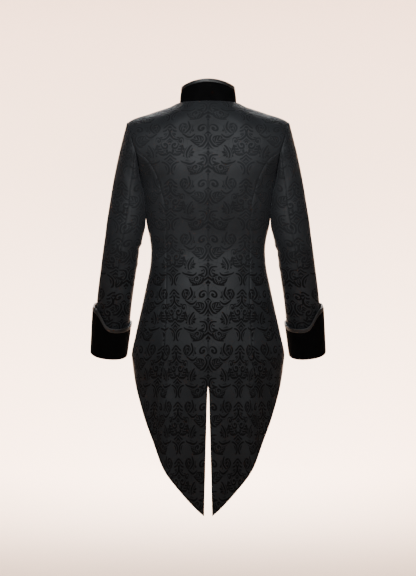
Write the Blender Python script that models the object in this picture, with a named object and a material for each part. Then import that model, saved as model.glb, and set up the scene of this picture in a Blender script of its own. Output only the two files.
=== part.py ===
"""Fitted tailcoat with a standing collar, turned-back cuffs and long curved tails.

The coat is filled out as when worn and hollow inside. Metres, +Z up. The front faces -Y, the
wearer's left is +X, and the origin is the middle of the neck at the height of the neck points.
Every cut piece is a wall of cloth made from rings and columns of the coat's outer surface.
"""
import math
from collections import namedtuple

import bmesh
import bpy
from mathutils import Vector

# Cloth walls and the gaps between pieces
CLOTH = 0.0022
VELVET = 0.0024
SATIN = 0.0008
SEAM_GAP = 0.0003
LAP_GAP = 0.0005

# Neck, shoulder and armhole
NECK_HALF_WIDTH = 0.077
NAPE_RISE = 0.0012
THROAT_DROP = 0.075
SHOULDER_HALF_WIDTH = 0.216
SHOULDER_DROP = 0.053
UNDERARM_DROP = 0.215
SHOULDER_ROLL = 0.060

# Lengths along the back and the sides
SIDE_HEM_DROP = 0.683
FRONT_HEM_DROP = 0.478
PRINCESS_END_DROP = 0.928
TAIL_TIP_DROP = 1.1045
VENT_TOP_DROP = 0.758
VENT_GAP_AT_TOP = 0.002
VENT_GAP_AT_TIP = 0.011

# Front edge
FRONT_LAP = 0.015
LAP_FULL_FROM = 0.020

# Collar
COLLAR_BACK_HEIGHT = 0.060
COLLAR_SIDE_HEIGHT = 0.044
COLLAR_FRONT_HEIGHT = 0.042
COLLAR_LEAN = 0.006
COLLAR_END_ANGLE = 85.5
COLLAR_BASE_GAP = 0.0004
COLLAR_LAP_RISE = 0.0016
COLLAR_RISE_FROM = 0.050
BINDING_WIDTH = 0.0085

# Sleeves and cuffs
CAP_END_DROP = 0.260
SLEEVE_CLEARANCE = 0.0026
CUFF_BOTTOM_DROP = 0.6795
CUFF_PEAK_DROP = 0.552
CUFF_STAND_OFF = 0.0079
CUFF_OUTER_EXTRA = 0.0030
CUFF_EDGE_TUCK = 0.0030
CUFF_CORNER = 0.0035

# Buttons
BUTTON_RADIUS = 0.009
BUTTON_THICKNESS = 0.0042
BUTTON_COUNT = 6
FIRST_BUTTON_DROP = 0.106
BUTTON_SPACING = 0.066
BUTTON_SIDES = 16

# How square the rings are: 2 is an ellipse, more is squarer
BACK_CORNER = 2.45
FRONT_CORNER = 2.3
SLEEVE_CORNER = 2.2

Section = namedtuple("Section", "z half_width back front")
BODY = [
    Section(0.040, 0.250, 0.058, 0.020),
    Section(0.000, 0.250, 0.076, 0.040),
    Section(-0.030, 0.250, 0.089, 0.058),
    Section(-0.075, 0.250, 0.107, 0.078),
    Section(-0.100, 0.248, 0.114, 0.089),
    Section(-0.140, 0.236, 0.121, 0.103),
    Section(-0.180, 0.205, 0.123, 0.112),
    Section(-0.215, 0.184, 0.120, 0.117),
    Section(-0.250, 0.1775, 0.115, 0.118),
    Section(-0.290, 0.1710, 0.106, 0.116),
    Section(-0.335, 0.1642, 0.095, 0.111),
    Section(-0.367, 0.1566, 0.088, 0.108),
    Section(-0.400, 0.1534, 0.084, 0.106),
    Section(-0.432, 0.1550, 0.087, 0.107),
    Section(-0.497, 0.1670, 0.104, 0.114),
    Section(-0.562, 0.1810, 0.119, 0.120),
    Section(-0.626, 0.1952, 0.129, 0.124),
    Section(-0.683, 0.2057, 0.133, 0.124),
    Section(-0.715, 0.2020, 0.134, 0.124),
    Section(-0.760, 0.1985, 0.134, 0.124),
    Section(-0.900, 0.1960, 0.131, 0.120),
    Section(-1.120, 0.1960, 0.123, 0.110),
]

Edge = namedtuple("Edge", "z x")
SHOULDER_LINE = [
    Edge(0.035, 0.000),
    Edge(0.022, 0.040),
    Edge(0.000, 0.077),
    Edge(-0.011, 0.0975),
    Edge(-0.0215, 0.1266),
    Edge(-0.0325, 0.1604),
    Edge(-0.0432, 0.1950),
    Edge(-0.0530, 0.2160),
]
ARMHOLE_EDGE = [
    Edge(-0.0530, 0.2160),
    Edge(-0.0750, 0.2110),
    Edge(-0.1020, 0.2030),
    Edge(-0.1340, 0.1930),
    Edge(-0.1650, 0.1865),
    Edge(-0.1900, 0.1835),
    Edge(-0.2070, 0.1828),
    Edge(-0.2150, 0.1840),
]
PRINCESS_SEAM = [
    Edge(-0.134, 0.1930),
    Edge(-0.152, 0.1700),
    Edge(-0.178, 0.1495),
    Edge(-0.232, 0.1280),
    Edge(-0.300, 0.1142),
    Edge(-0.400, 0.1120),
    Edge(-0.530, 0.1122),
    Edge(-0.610, 0.1146),
    Edge(-0.745, 0.1225),
    Edge(-0.870, 0.1347),
    Edge(-0.928, 0.1411),
    Edge(-1.1045, 0.1470),
]
TAIL_EDGE = [
    Edge(-0.683, 0.2057),
    Edge(-0.707, 0.2030),
    Edge(-0.770, 0.1894),
    Edge(-0.864, 0.1648),
    Edge(-0.928, 0.1411),
    Edge(-0.990, 0.1113),
    Edge(-1.038, 0.0773),
    Edge(-1.085, 0.0328),
    Edge(-1.1045, 0.0108),
]

# Soft flutes of the skirt: where they lie round the body, how wide, how high, and where they start
Flute = namedtuple("Flute", "angle spread height start full")
FLUTES = [
    Flute(17.0, 9.0, -0.0050, -0.50, -0.95),
    Flute(31.0, 8.0, 0.0055, -0.52, -0.90),
    Flute(46.0, 8.0, -0.0040, -0.56, -0.86),
    Flute(70.0, 10.0, 0.0030, -0.52, -0.70),
    Flute(118.0, 12.0, -0.0025, -0.46, -0.62),
]

Tube = namedtuple("Tube", "z outer inner y half_depth")
SLEEVE = [
    Tube(-0.230, 0.2585, 0.160, 0.002, 0.0690),
    Tube(-0.260, 0.2628, 0.158, 0.004, 0.0660),
    Tube(-0.300, 0.2690, 0.162, 0.008, 0.0620),
    Tube(-0.335, 0.2745, 0.170, 0.010, 0.0590),
    Tube(-0.367, 0.2784, 0.1785, 0.009, 0.0565),
    Tube(-0.400, 0.2832, 0.1858, 0.005, 0.0545),
    Tube(-0.464, 0.2921, 0.1958, -0.009, 0.0510),
    Tube(-0.529, 0.3008, 0.2055, -0.027, 0.0485),
    Tube(-0.594, 0.3062, 0.2130, -0.047, 0.0465),
    Tube(-0.640, 0.3092, 0.2195, -0.062, 0.0455),
    Tube(-0.720, 0.3142, 0.2312, -0.088, 0.0445),
]
SLEEVE_ROWS = [0.260, 0.290, 0.320, 0.350, 0.385, 0.420, 0.460, 0.500, 0.540, 0.580, 0.620, 0.650]
CAP_ROWS = 6

# How far the cuff's top edge drops from its outer peak, by angle round the arm
CuffTop = namedtuple("CuffTop", "angle drop")
CUFF_TOP = [
    CuffTop(0.0, 0.000),
    CuffTop(30.0, 0.0015),
    CuffTop(45.0, 0.006),
    CuffTop(60.0, 0.0195),
    CuffTop(73.0, 0.035),
    CuffTop(85.0, 0.0425),
    CuffTop(97.0, 0.044),
    CuffTop(180.0, 0.037),
]
CUFF_ANGLES = [0, 22, 42, 58, 72, 86, 104, 128, 154]

# Angles round the armhole from its top, down the back to the underarm and up the front
ARMHOLE_UPPER = [0.0, 10.0, 22.0, 38.0, 55.0, 72.0, 90.0]
ARMHOLE_LOWER = [90.0, 112.5, 135.0, 157.5, 180.0]
FORE_SEAM_ANGLE = 225.0
HIND_SEAM_ANGLE = 90.0

# Heights of the rows on the princess seam, angles on the back neck and on the front neck
PRINCESS_ROWS = [0.134, 0.160, 0.190, 0.225, 0.265, 0.310, 0.355, 0.400, 0.445,
                 0.495, 0.550, 0.610, 0.675, 0.740, 0.805, 0.867, 0.928]
BACK_NECK_ANGLES = [0, 20, 40, 60, 75, 90]
FRONT_NECK_ANGLES = [0, 2.5, 8, 17, 34, 50, 64]

# Where the columns cross the shoulder seam, from the neck point to the shoulder's end
SHOULDER_COLUMNS = [0.077, 0.112, 0.145, 0.170, 0.190, 0.205, 0.216]

# How the front's columns leave the armhole: the angle that the column beside it keeps to
Sweep = namedtuple("Sweep", "z angle")
FRONT_SWEEP = [
    Sweep(-0.053, 122.3),
    Sweep(-0.110, 128.0),
    Sweep(-0.170, 124.0),
    Sweep(-0.215, 114.0),
    Sweep(-0.260, 103.0),
    Sweep(-0.320, 94.0),
    Sweep(-0.400, 90.0),
]
SWEEP_SHARE = 0.3
NECK_POINT_SHARE = 0.64
LAST_NECK_SHARE = 0.92
NECK_FAN = 0.003
FAN_FULL_AT = 0.04

MATERIALS = {
    "brocade": ((0.020, 0.020, 0.022, 1.0), 0.55),
    "velvet": ((0.003, 0.003, 0.0035, 1.0), 0.95),
    "satin": ((0.012, 0.012, 0.013, 1.0), 0.35),
    "button": ((0.010, 0.010, 0.011, 1.0), 0.30),
}


def smooth_curve(keys, values):
    """A function that runs smoothly through the points and never overshoots them."""
    pairs = sorted(zip(keys, values))
    xs = [pair[0] for pair in pairs]
    ys = [pair[1] for pair in pairs]
    last = len(xs) - 1
    steps = [xs[i + 1] - xs[i] for i in range(last)]
    slopes = [(ys[i + 1] - ys[i]) / steps[i] for i in range(last)]
    tangents = [slopes[0]]
    for i in range(1, last):
        before, after = slopes[i - 1], slopes[i]
        tangents.append(2 * before * after / (before + after) if before * after > 0 else 0.0)
    tangents.append(slopes[-1])

    def value(x):
        if x <= xs[0]:
            return ys[0]
        if x >= xs[-1]:
            return ys[-1]
        i = next(k for k in range(last) if x <= xs[k + 1])
        t = (x - xs[i]) / steps[i]
        return (ys[i] * (1 + 2 * t) * (1 - t) ** 2
                + tangents[i] * steps[i] * t * (1 - t) ** 2
                + ys[i + 1] * t * t * (3 - 2 * t)
                + tangents[i + 1] * steps[i] * t * t * (t - 1))

    return value


def column(table, key, name):
    """A smooth curve of one named column of a table against another."""
    return smooth_curve([getattr(row, key) for row in table], [getattr(row, name) for row in table])


half_width = column(BODY, "z", "half_width")
back_depth = column(BODY, "z", "back")
front_depth = column(BODY, "z", "front")
ridge_height = column(SHOULDER_LINE, "x", "z")
armhole_x = column(ARMHOLE_EDGE, "z", "x")
princess_x = column(PRINCESS_SEAM, "z", "x")
tail_edge_x = column(TAIL_EDGE, "z", "x")
sleeve_outer = column(SLEEVE, "z", "outer")
sleeve_inner = column(SLEEVE, "z", "inner")
sleeve_y = column(SLEEVE, "z", "y")
sleeve_half_depth = column(SLEEVE, "z", "half_depth")
cuff_drop = column(CUFF_TOP, "angle", "drop")
front_sweep = column(FRONT_SWEEP, "z", "angle")


def mix(a, b, t):
    """The value, point or vector that lies the share t of the way from a to b."""
    return a + (b - a) * t


def ease(t):
    """A soft ramp from 0 to 1."""
    t = min(max(t, 0.0), 1.0)
    return t * t * (3 - 2 * t)


def signed_power(value, power):
    """The power of a value's size, with the value's sign."""
    return math.copysign(abs(value) ** power, value)


def roll(x, z):
    """How far the cloth has come round the shoulder: 0 on the shoulder line, 1 well below it."""
    t = min(max((ridge_height(abs(x)) - z) / SHOULDER_ROLL, 0.0), 1.0)
    return math.sqrt(1 - (1 - t) ** 2)


def flute(angle, z):
    """How far the soft flutes move the cloth out at an angle round the body and a height."""
    moved = 0.0
    for row in FLUTES:
        share = ease((row.start - z) / (row.start - row.full))
        moved += row.height * share * math.exp(-((angle - row.angle) / row.spread) ** 2)
    return moved


def body_point(angle, z):
    """A point of the coat's outer surface: 0 is centre back, 90 the side, 180 centre front."""
    sine, cosine = math.sin(math.radians(angle)), math.cos(math.radians(angle))
    corner = BACK_CORNER if cosine > 0 else FRONT_CORNER
    depth = back_depth(z) if cosine > 0 else front_depth(z)
    width = half_width(z)
    x = width * signed_power(sine, 2 / corner)
    y = depth * signed_power(cosine, 2 / corner)
    outward = Vector((x / width ** 2, y / depth ** 2, 0)).normalized()
    y *= roll(x, z)
    return Vector((x, y, z)) + outward * flute(min(abs(angle), 360 - abs(angle)), z)


def body_normal(angle, z):
    """The outward direction of the coat's surface."""
    here = body_point(angle, z)
    if ridge_height(abs(here.x)) - z < 0.0005:
        slope = (ridge_height(abs(here.x) + 0.002) - ridge_height(abs(here.x) - 0.002)) / 0.004
        return Vector((-slope * math.copysign(1.0, here.x), 0, 1)).normalized()
    across = body_point(angle + 0.5, z) - body_point(angle - 0.5, z)
    down = body_point(angle, z - 0.0003) - body_point(angle, z + 0.0003)
    normal = across.cross(down).normalized()
    return normal if normal.dot(Vector((here.x, here.y, 0.02))) > 0 else -normal


def angle_at(x, z, front=False):
    """The angle round the body of the point at x on the ring of height z."""
    corner = FRONT_CORNER if front else BACK_CORNER
    share = min(abs(x) / half_width(z), 1.0)
    angle = math.degrees(math.asin(share ** (corner / 2)))
    if not front:
        return angle
    return 180 - math.copysign(angle, x)


def armhole_drop(angle):
    """The depth of the armhole's edge below the neck, by angle round the armhole from its top."""
    middle = (SHOULDER_DROP + UNDERARM_DROP) / 2
    return middle - (UNDERARM_DROP - SHOULDER_DROP) / 2 * math.cos(math.radians(angle))


def armhole_place(angle):
    """The body angle and the height of a point on the armhole's edge."""
    z = -armhole_drop(angle)
    if angle in (0.0, 360.0):
        return angle_at(SHOULDER_HALF_WIDTH, z, front=angle > 180), z
    if angle == 180.0:
        return 90.0, z
    return angle_at(armhole_x(z), z, front=angle > 180), z


def armhole_point(angle):
    """A point on the armhole's edge."""
    body_angle, z = armhole_place(angle)
    if angle in (0.0, 360.0):
        return Vector((SHOULDER_HALF_WIDTH, 0, z))
    return body_point(body_angle, z)


def hem_drop_front(angle):
    """The depth of the cutaway hem in front of the side seam."""
    share = abs(math.cos(math.radians(angle))) ** (2 / FRONT_CORNER)
    rise = math.sin(share * math.pi / 2) ** 1.1
    return mix(SIDE_HEM_DROP, FRONT_HEM_DROP, rise)


def solve(function, low, high):
    """Where a function crosses zero between two values, by halving."""
    sign = function(low) > 0
    for _ in range(40):
        middle = (low + high) / 2
        if (function(middle) > 0) == sign:
            low = middle
        else:
            high = middle
    return (low + high) / 2


def centre_edge_x(z):
    """The back's inner edge: the centre-back seam, then the vent down to the tip."""
    if z > -VENT_TOP_DROP:
        return 0.0
    share = (-VENT_TOP_DROP - z) / (TAIL_TIP_DROP - VENT_TOP_DROP)
    opened = ease(share * 20) * VENT_GAP_AT_TOP
    return opened + (VENT_GAP_AT_TIP - VENT_GAP_AT_TOP) * share


def back_outer_x(z):
    """The back's outer edge: the armhole, then the princess seam."""
    if z >= -SHOULDER_DROP:
        return SHOULDER_HALF_WIDTH
    if z >= -PRINCESS_ROWS[0]:
        return armhole_x(z)
    return princess_x(z)


def back_neck_height(x):
    """The height of the back neckline."""
    return NAPE_RISE * (1 - (x / NECK_HALF_WIDTH) ** 2)


def shares_across_back():
    """How far across the back each column stands, 0 at the centre and 1 at the outer edge."""
    neck = [NECK_HALF_WIDTH * math.sin(math.radians(a)) for a in BACK_NECK_ANGLES[:-1]]
    return [x / SHOULDER_HALF_WIDTH for x in neck + SHOULDER_COLUMNS]


def back_places():
    """Rows of (angle, height) for half of the back, from the neck and shoulder to the tail's hem."""
    edge_rows = [armhole_drop(a) for a in ARMHOLE_UPPER[:-1]] + PRINCESS_ROWS
    first, span = edge_rows[0], edge_rows[-1] - edge_rows[0]
    rows = []
    for edge_drop in edge_rows:
        row = []
        for share in shares_across_back():
            top_x = share * SHOULDER_HALF_WIDTH
            on_neck = top_x < NECK_HALF_WIDTH - 1e-6
            top = back_neck_height(top_x) if on_neck else ridge_height(top_x)

            def past_hem(z, share=share):
                return mix(centre_edge_x(z), back_outer_x(z), share) - tail_edge_x(z)

            bottom = solve(past_hem, -PRINCESS_END_DROP, -TAIL_TIP_DROP)
            if share == 1.0:
                bottom = -PRINCESS_END_DROP
            z = mix(top, bottom, (edge_drop - first) / span)
            x = mix(centre_edge_x(z), back_outer_x(z), share)
            row.append((angle_at(x, z), z))
        rows.append(row)
    return rows


def side_back_places():
    """Rows of (angle, height) for half of the side back, from the armhole to the hem."""
    first, span = PRINCESS_ROWS[0], PRINCESS_ROWS[-1] - PRINCESS_ROWS[0]
    cells = len(ARMHOLE_LOWER) - 1

    def between_seams(share, z):
        return mix(angle_at(princess_x(z), z), 90.0, share)

    rows = []
    for edge_drop in PRINCESS_ROWS:
        row = []
        down = (edge_drop - first) / span
        for i, armhole_angle in enumerate(ARMHOLE_LOWER):
            share = i / cells
            top_angle, top = armhole_place(armhole_angle)

            def past_hem(z, share=share):
                return angle_at(tail_edge_x(z), z) - between_seams(share, z)

            bottom = solve(past_hem, -SIDE_HEM_DROP, -PRINCESS_END_DROP)
            if i == 0:
                bottom = -PRINCESS_END_DROP
            if i == cells:
                bottom = -SIDE_HEM_DROP
            z = mix(top, bottom, down)
            shift = (top_angle - between_seams(share, top)) * (1 - ease(down * 4))
            row.append((between_seams(share, z) + shift, z))
        rows.append(row)
    return rows


def front_neck(angle):
    """The x and the height of a point on the front neckline, from the neck point to the throat."""
    turn = math.radians(angle)
    return NECK_HALF_WIDTH * math.cos(turn), -THROAT_DROP * math.sin(turn)


def front_columns():
    """The x and the height at the top of each column of a front, and its share of the way across.

    The share is missing where the column keeps to its x.
    """
    last = len(SHOULDER_COLUMNS) - 1
    columns = []
    for i, x in enumerate(reversed(SHOULDER_COLUMNS)):
        columns.append((x, ridge_height(x), NECK_POINT_SHARE * i / last))
    for angle in FRONT_NECK_ANGLES[1:]:
        along = angle / FRONT_NECK_ANGLES[-1]
        columns.append((*front_neck(angle), mix(NECK_POINT_SHARE, LAST_NECK_SHARE, along)))
    for x in (LAP_FULL_FROM, 0.0, -FRONT_LAP):
        columns.append((x, -THROAT_DROP * math.sqrt(1 - (x / NECK_HALF_WIDTH) ** 2), None))
    return columns


def front_edge_angle(z):
    """The angle of the front's outer edge: the armhole, then the side seam."""
    if z <= -UNDERARM_DROP:
        return 90.0
    if z >= -SHOULDER_DROP:
        return angle_at(SHOULDER_HALF_WIDTH, z, front=True)
    return angle_at(armhole_x(z), z, front=True)


def front_angle(share, z):
    """The angle of the point a share of the way across the front, from its outer edge."""
    swept = max(front_sweep(z), front_edge_angle(z))
    start = mix(front_edge_angle(z), swept, min(share / SWEEP_SHARE, 1.0))
    return mix(start, 180.0, share)


def front_places():
    """Rows of (angle, height) for a front, from the shoulder and the neck to the hem."""
    side_span = (SIDE_HEM_DROP - UNDERARM_DROP) / (PRINCESS_ROWS[-1] - PRINCESS_ROWS[0])
    side_rows = [UNDERARM_DROP + (drop - PRINCESS_ROWS[0]) * side_span for drop in PRINCESS_ROWS]
    armhole_angles = ARMHOLE_UPPER[:-1] + ARMHOLE_LOWER[:-1]
    edge_rows = [armhole_drop(angle) for angle in armhole_angles] + side_rows
    rows = []
    for edge_drop in edge_rows:
        down = (edge_drop - SHOULDER_DROP) / (UNDERARM_DROP - SHOULDER_DROP)
        below = max(edge_drop - UNDERARM_DROP, 0.0) / (SIDE_HEM_DROP - UNDERARM_DROP)
        row = []
        for x, top, share in front_columns():
            end = angle_at(x, -FRONT_HEM_DROP, front=True) if share is None else mix(90.0, 180.0, share)
            z = mix(mix(top, -UNDERARM_DROP, min(down, 1.0)), -hem_drop_front(end), below)
            if share is None:
                row.append((angle_at(x, z, front=True), z))
            else:
                tent = min(share / NECK_POINT_SHARE, (1 - share) / (1 - NECK_POINT_SHARE))
                fan = NECK_FAN * tent * math.sqrt(min(down / FAN_FULL_AT, 1.0))
                shift = angle_at(x + fan, top, front=True) - front_angle(share, top)
                row.append((front_angle(share, z) + shift * (1 - ease(down * 2)), z))
        rows.append(row)
    return rows


def points_and_normals(places):
    """The surface's points and outward directions at rows of (angle, height)."""
    points, normals = [], []
    for row in places:
        line, facing = [], []
        for angle, z in row:
            point = body_point(angle, z)
            if abs(ridge_height(abs(point.x)) - z) < 1e-5:
                point.y = 0.0
            line.append(point)
            facing.append(body_normal(angle, z))
        points.append(line)
        normals.append(facing)
    return points, normals


def grid_normals(points, wrap, centre_of_row):
    """Outward directions of a grid of points, worked out from its neighbours."""
    rows, columns = len(points), len(points[0])
    normals = []
    for i in range(rows):
        line = []
        for j in range(columns):
            above, below = points[max(i - 1, 0)][j], points[min(i + 1, rows - 1)][j]
            if wrap:
                left, right = points[i][j - 1], points[i][(j + 1) % columns]
            else:
                left, right = points[i][max(j - 1, 0)], points[i][min(j + 1, columns - 1)]
            normal = (right - left).cross(below - above).normalized()
            line.append(normal)
        outward = sum(line[j].dot(points[i][j] - centre_of_row(i)) for j in range(columns))
        normals.append(line if outward > 0 else [-n for n in line])
    return normals


def draw_in(points, sides, distance):
    """Move the named edges of a grid into it, to leave the gap of a seam."""
    rows, columns = len(points), len(points[0])
    moved = [[p.copy() for p in line] for line in points]
    for side in sides:
        for k in range(rows if side in ("left", "right") else columns):
            i, j, a, b = {
                "left": (k, 0, k, 1),
                "right": (k, columns - 1, k, columns - 2),
                "top": (0, k, 1, k),
                "bottom": (rows - 1, k, rows - 2, k),
            }[side]
            towards = points[a][b] - points[i][j]
            moved[i][j] += towards.normalized() * distance
    return moved


def moved_out(points, normals, distance):
    """The grid moved along its outward directions."""
    return [[p + n * distance for p, n in zip(line, facing)] for line, facing in zip(points, normals)]


def mirrored(points):
    """The same grid on the wearer's other side."""
    return [[Vector((-p.x, p.y, p.z)) for p in line] for line in points]


def material(kind):
    """The material of a kind of cloth, made once."""
    if kind in bpy.data.materials:
        return bpy.data.materials[kind]
    colour, roughness = MATERIALS[kind]
    made = bpy.data.materials.new(kind)
    made.use_nodes = True
    shader = made.node_tree.nodes["Principled BSDF"]
    shader.inputs["Base Color"].default_value = colour
    shader.inputs["Roughness"].default_value = roughness
    shader.inputs["Metallic"].default_value = 0.0
    return made


def add_object(name, bm, kind):
    """Finish a mesh as a named object with its faces pointing out."""
    bmesh.ops.recalc_face_normals(bm, faces=bm.faces)
    mesh = bpy.data.meshes.new(name)
    bm.to_mesh(mesh)
    bm.free()
    mesh.shade_smooth()
    mesh.set_sharp_from_angle(angle=math.radians(40))
    mesh.materials.append(material(kind))
    made = bpy.data.objects.new(name, mesh)
    bpy.context.scene.collection.objects.link(made)
    return made


def add_quad(bm, a, b, c, d):
    """Two triangles over four corners, split along the shorter diagonal."""
    if (a.co - c.co).length <= (b.co - d.co).length:
        bm.faces.new((a, b, c))
        bm.faces.new((a, c, d))
    else:
        bm.faces.new((a, b, d))
        bm.faces.new((b, c, d))


def add_wall(name, outer, inner, kind, wrap=False):
    """A closed wall between an outer and an inner grid, with rims along its open edges."""
    rows, columns = len(outer), len(outer[0])
    bm = bmesh.new()
    front = [[bm.verts.new(p) for p in line] for line in outer]
    back = [[bm.verts.new(p) for p in line] for line in inner]
    across = columns if wrap else columns - 1
    for i in range(rows - 1):
        for j in range(across):
            k = (j + 1) % columns
            add_quad(bm, front[i][j], front[i][k], front[i + 1][k], front[i + 1][j])
            add_quad(bm, back[i + 1][j], back[i + 1][k], back[i][k], back[i][j])
    for i in (0, rows - 1):
        for j in range(across):
            k = (j + 1) % columns
            add_quad(bm, front[i][j], front[i][k], back[i][k], back[i][j])
    if not wrap:
        for j in (0, columns - 1):
            for i in range(rows - 1):
                add_quad(bm, front[i][j], front[i + 1][j], back[i + 1][j], back[i][j])
    return add_object(name, bm, kind)


def add_cloth(name, points, normals, seams, kind="brocade", thickness=CLOTH, wrap=False):
    """A wall of cloth inside its outer surface, drawn in along its seams."""
    inner = moved_out(points, normals, -thickness)
    outer = draw_in(points, seams, SEAM_GAP / 2 + 0.00005)
    inner = draw_in(inner, seams, SEAM_GAP / 2 + 0.00005)
    return add_wall(name, outer, inner, kind, wrap)


def add_both_sides(name, points, normals, seams):
    """A piece for the wearer's left and its mirror image for the right."""
    add_cloth(name + "_left", points, normals, seams)
    add_cloth(name + "_right", mirrored(points), mirrored(normals), seams)


def add_body():
    """The back, the side back and the fronts."""
    points, normals = points_and_normals(back_places())
    for i, line in enumerate(points):
        line[0].x = centre_edge_x(line[0].z)
    add_both_sides("back", points, normals, ("left", "right", "top"))
    points, normals = points_and_normals(side_back_places())
    add_both_sides("side_back", points, normals, ("left", "right", "top"))

    points, normals = points_and_normals(front_places())
    seams = ("left", "top")
    add_cloth("front_right", mirrored(points), mirrored(normals), seams)
    lap = len(points[0]) - 3
    lapped = [
        [p + n * (CLOTH + LAP_GAP) if j >= lap else p for j, (p, n) in enumerate(zip(line, facing))]
        for line, facing in zip(points, normals)
    ]
    add_cloth("front_left", lapped, normals, seams)


def torso_x(y, z):
    """How far out the body's surface reaches at a depth y and a height z."""
    corner = BACK_CORNER if y > 0 else FRONT_CORNER
    depth = back_depth(z) if y > 0 else front_depth(z)
    share = min(abs(y) / depth, 1.0)
    return half_width(z) * (1 - share ** corner) ** (1 / corner)


def arm_frame(z):
    """The middle of the arm, and the outward and the backward direction square to it."""

    def centre(height):
        return Vector(((sleeve_outer(height) + sleeve_inner(height)) / 2, sleeve_y(height), height))

    axis = (centre(z - 0.02) - centre(z + 0.02)).normalized()
    if z > -0.37:
        axis = mix(Vector((0.14, 0, -0.99)), axis, ease((-z - 0.26) / 0.11)).normalized()
    outward = (Vector((1, 0, 0)) - axis * axis.x).normalized()
    backward = outward.cross(axis)
    if backward.y < 0:
        backward = -backward
    return centre(z), outward, backward


def arm_point(angle, z, stand_off=0.0):
    """A point round the sleeve: 0 is its outer side, 90 its back, 180 its inner side."""
    centre, outward, backward = arm_frame(z)
    sine, cosine = math.sin(math.radians(angle)), math.cos(math.radians(angle))
    wide = (sleeve_outer(z) - sleeve_inner(z)) / 2 + stand_off
    deep = sleeve_half_depth(z) + stand_off
    power = 2 / SLEEVE_CORNER
    return (centre + outward * (wide * signed_power(cosine, power))
            + backward * (deep * signed_power(sine, power)))


def beside_body(point, clearance):
    """The point, moved out where it would come nearer to the body than the clearance."""
    limit = torso_x(point.y, point.z) + clearance
    softness = 0.002
    gap = point.x - limit
    return Vector((limit + (gap + math.sqrt(gap * gap + softness ** 2)) / 2, point.y, point.z))


def sleeve_start(angle):
    """A point on the sleeve's top edge, just outside the armhole's edge, and its way down."""
    turn = math.radians(angle)
    edge = armhole_point(angle)
    edge.x += SEAM_GAP + 0.0001 + CLOTH * max(math.cos(turn), 0.0)
    way = Vector((0.16 + 0.12 * math.cos(turn), 0.22 * math.sin(turn), -1.0)).normalized()
    return edge, way


def sleeve_grid():
    """Rows of points from the armhole to the cuff, one column for each armhole angle."""
    half = ARMHOLE_UPPER + ARMHOLE_LOWER[1:]
    angles = half + [360.0 - angle for angle in reversed(half[1:-1])]
    end = CUFF_BOTTOM_DROP - VELVET - SEAM_GAP
    rows = []
    for i in range(CAP_ROWS):
        t = i / CAP_ROWS
        line = []
        for angle in angles:
            start, way = sleeve_start(angle)
            stop = arm_point(angle, -CAP_END_DROP)
            way_out = (arm_point(angle, -CAP_END_DROP - 0.01) - stop).normalized()
            length = (stop - start).length
            point = (start * (1 + 2 * t) * (1 - t) ** 2 + way * (length * t * (1 - t) ** 2)
                     + stop * (t * t * (3 - 2 * t)) + way_out * (length * t * t * (t - 1)))
            if i > 0 and 90.0 < angle < 270.0:
                point = beside_body(point, mix(SEAM_GAP, SLEEVE_CLEARANCE, ease(t * 2)))
            line.append(point)
        rows.append(line)
    for drop in SLEEVE_ROWS + [end]:
        rows.append([beside_body(arm_point(angle, -drop), SLEEVE_CLEARANCE) for angle in angles])
    return angles, rows


def add_sleeves():
    """The upper and the under sleeve of both arms."""
    angles, points = sleeve_grid()
    normals = grid_normals(points, True, lambda i: sum(points[i], Vector()) / len(angles))
    hind = angles.index(HIND_SEAM_ANGLE)
    fore = angles.index(FORE_SEAM_ANGLE)
    under = list(range(hind, fore + 1))
    upper = list(range(fore, len(angles))) + list(range(0, hind + 1))
    for name, picked in (("under_sleeve", under), ("upper_sleeve", upper)):
        part = [[line[j] for j in picked] for line in points]
        facing = [[line[j] for j in picked] for line in normals]
        add_both_sides(name, part, facing, ("left", "right"))


def cuff_grid():
    """Rows of points down the cuff and round under the sleeve's end."""
    angles = CUFF_ANGLES + [180] + [360 - a for a in reversed(CUFF_ANGLES[1:])]
    bottom = CUFF_BOTTOM_DROP
    rows = [[] for _ in range(9)]
    for angle in angles:
        fold = min(angle, 360 - angle)
        top = CUFF_PEAK_DROP + cuff_drop(fold)
        stand = CUFF_STAND_OFF + CUFF_OUTER_EXTRA * math.cos(math.radians(angle))
        tuck = CUFF_EDGE_TUCK * max(math.cos(math.radians(angle)), 0.0)
        rim = bottom - CUFF_CORNER
        path = [
            (stand - tuck, top),
            (stand, top + 0.011),
            (stand, mix(top + 0.011, rim, 0.33)),
            (stand, mix(top + 0.011, rim, 0.67)),
            (stand, rim),
            (stand - 0.0010, bottom - 0.0011),
            (stand - CUFF_CORNER, bottom),
            (stand * 0.2, bottom),
            (-CLOTH * 0.8, bottom),
        ]
        for row, (off, drop) in zip(rows, path):
            row.append(arm_point(angle, -drop, off))
    return rows


def add_binding(name, outer, inner, normals, wrap):
    """A folded satin edging over the first row of a wall, on both of its faces."""
    share = BINDING_WIDTH / 0.011
    first, second = [[] for _ in range(4)], [[] for _ in range(4)]
    for j in range(len(outer[0])):
        away = normals[0][j]
        slope = (outer[0][j] - outer[1][j]).normalized()
        up = (slope - away * slope.dot(away)).normalized()
        facing = mix(away, normals[1][j], share).normalized()
        leg = mix(outer[0][j], outer[1][j], share)
        leg_in = mix(inner[0][j], inner[1][j], share)
        for rows, off in ((first, SEAM_GAP), (second, SEAM_GAP + SATIN)):
            rows[0].append(leg + facing * off)
            rows[1].append(outer[0][j] + (away + up) * off)
            rows[2].append(inner[0][j] + (up - away) * off)
            rows[3].append(leg_in - facing * off)
    add_wall(name, second, first, "satin", wrap)


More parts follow.
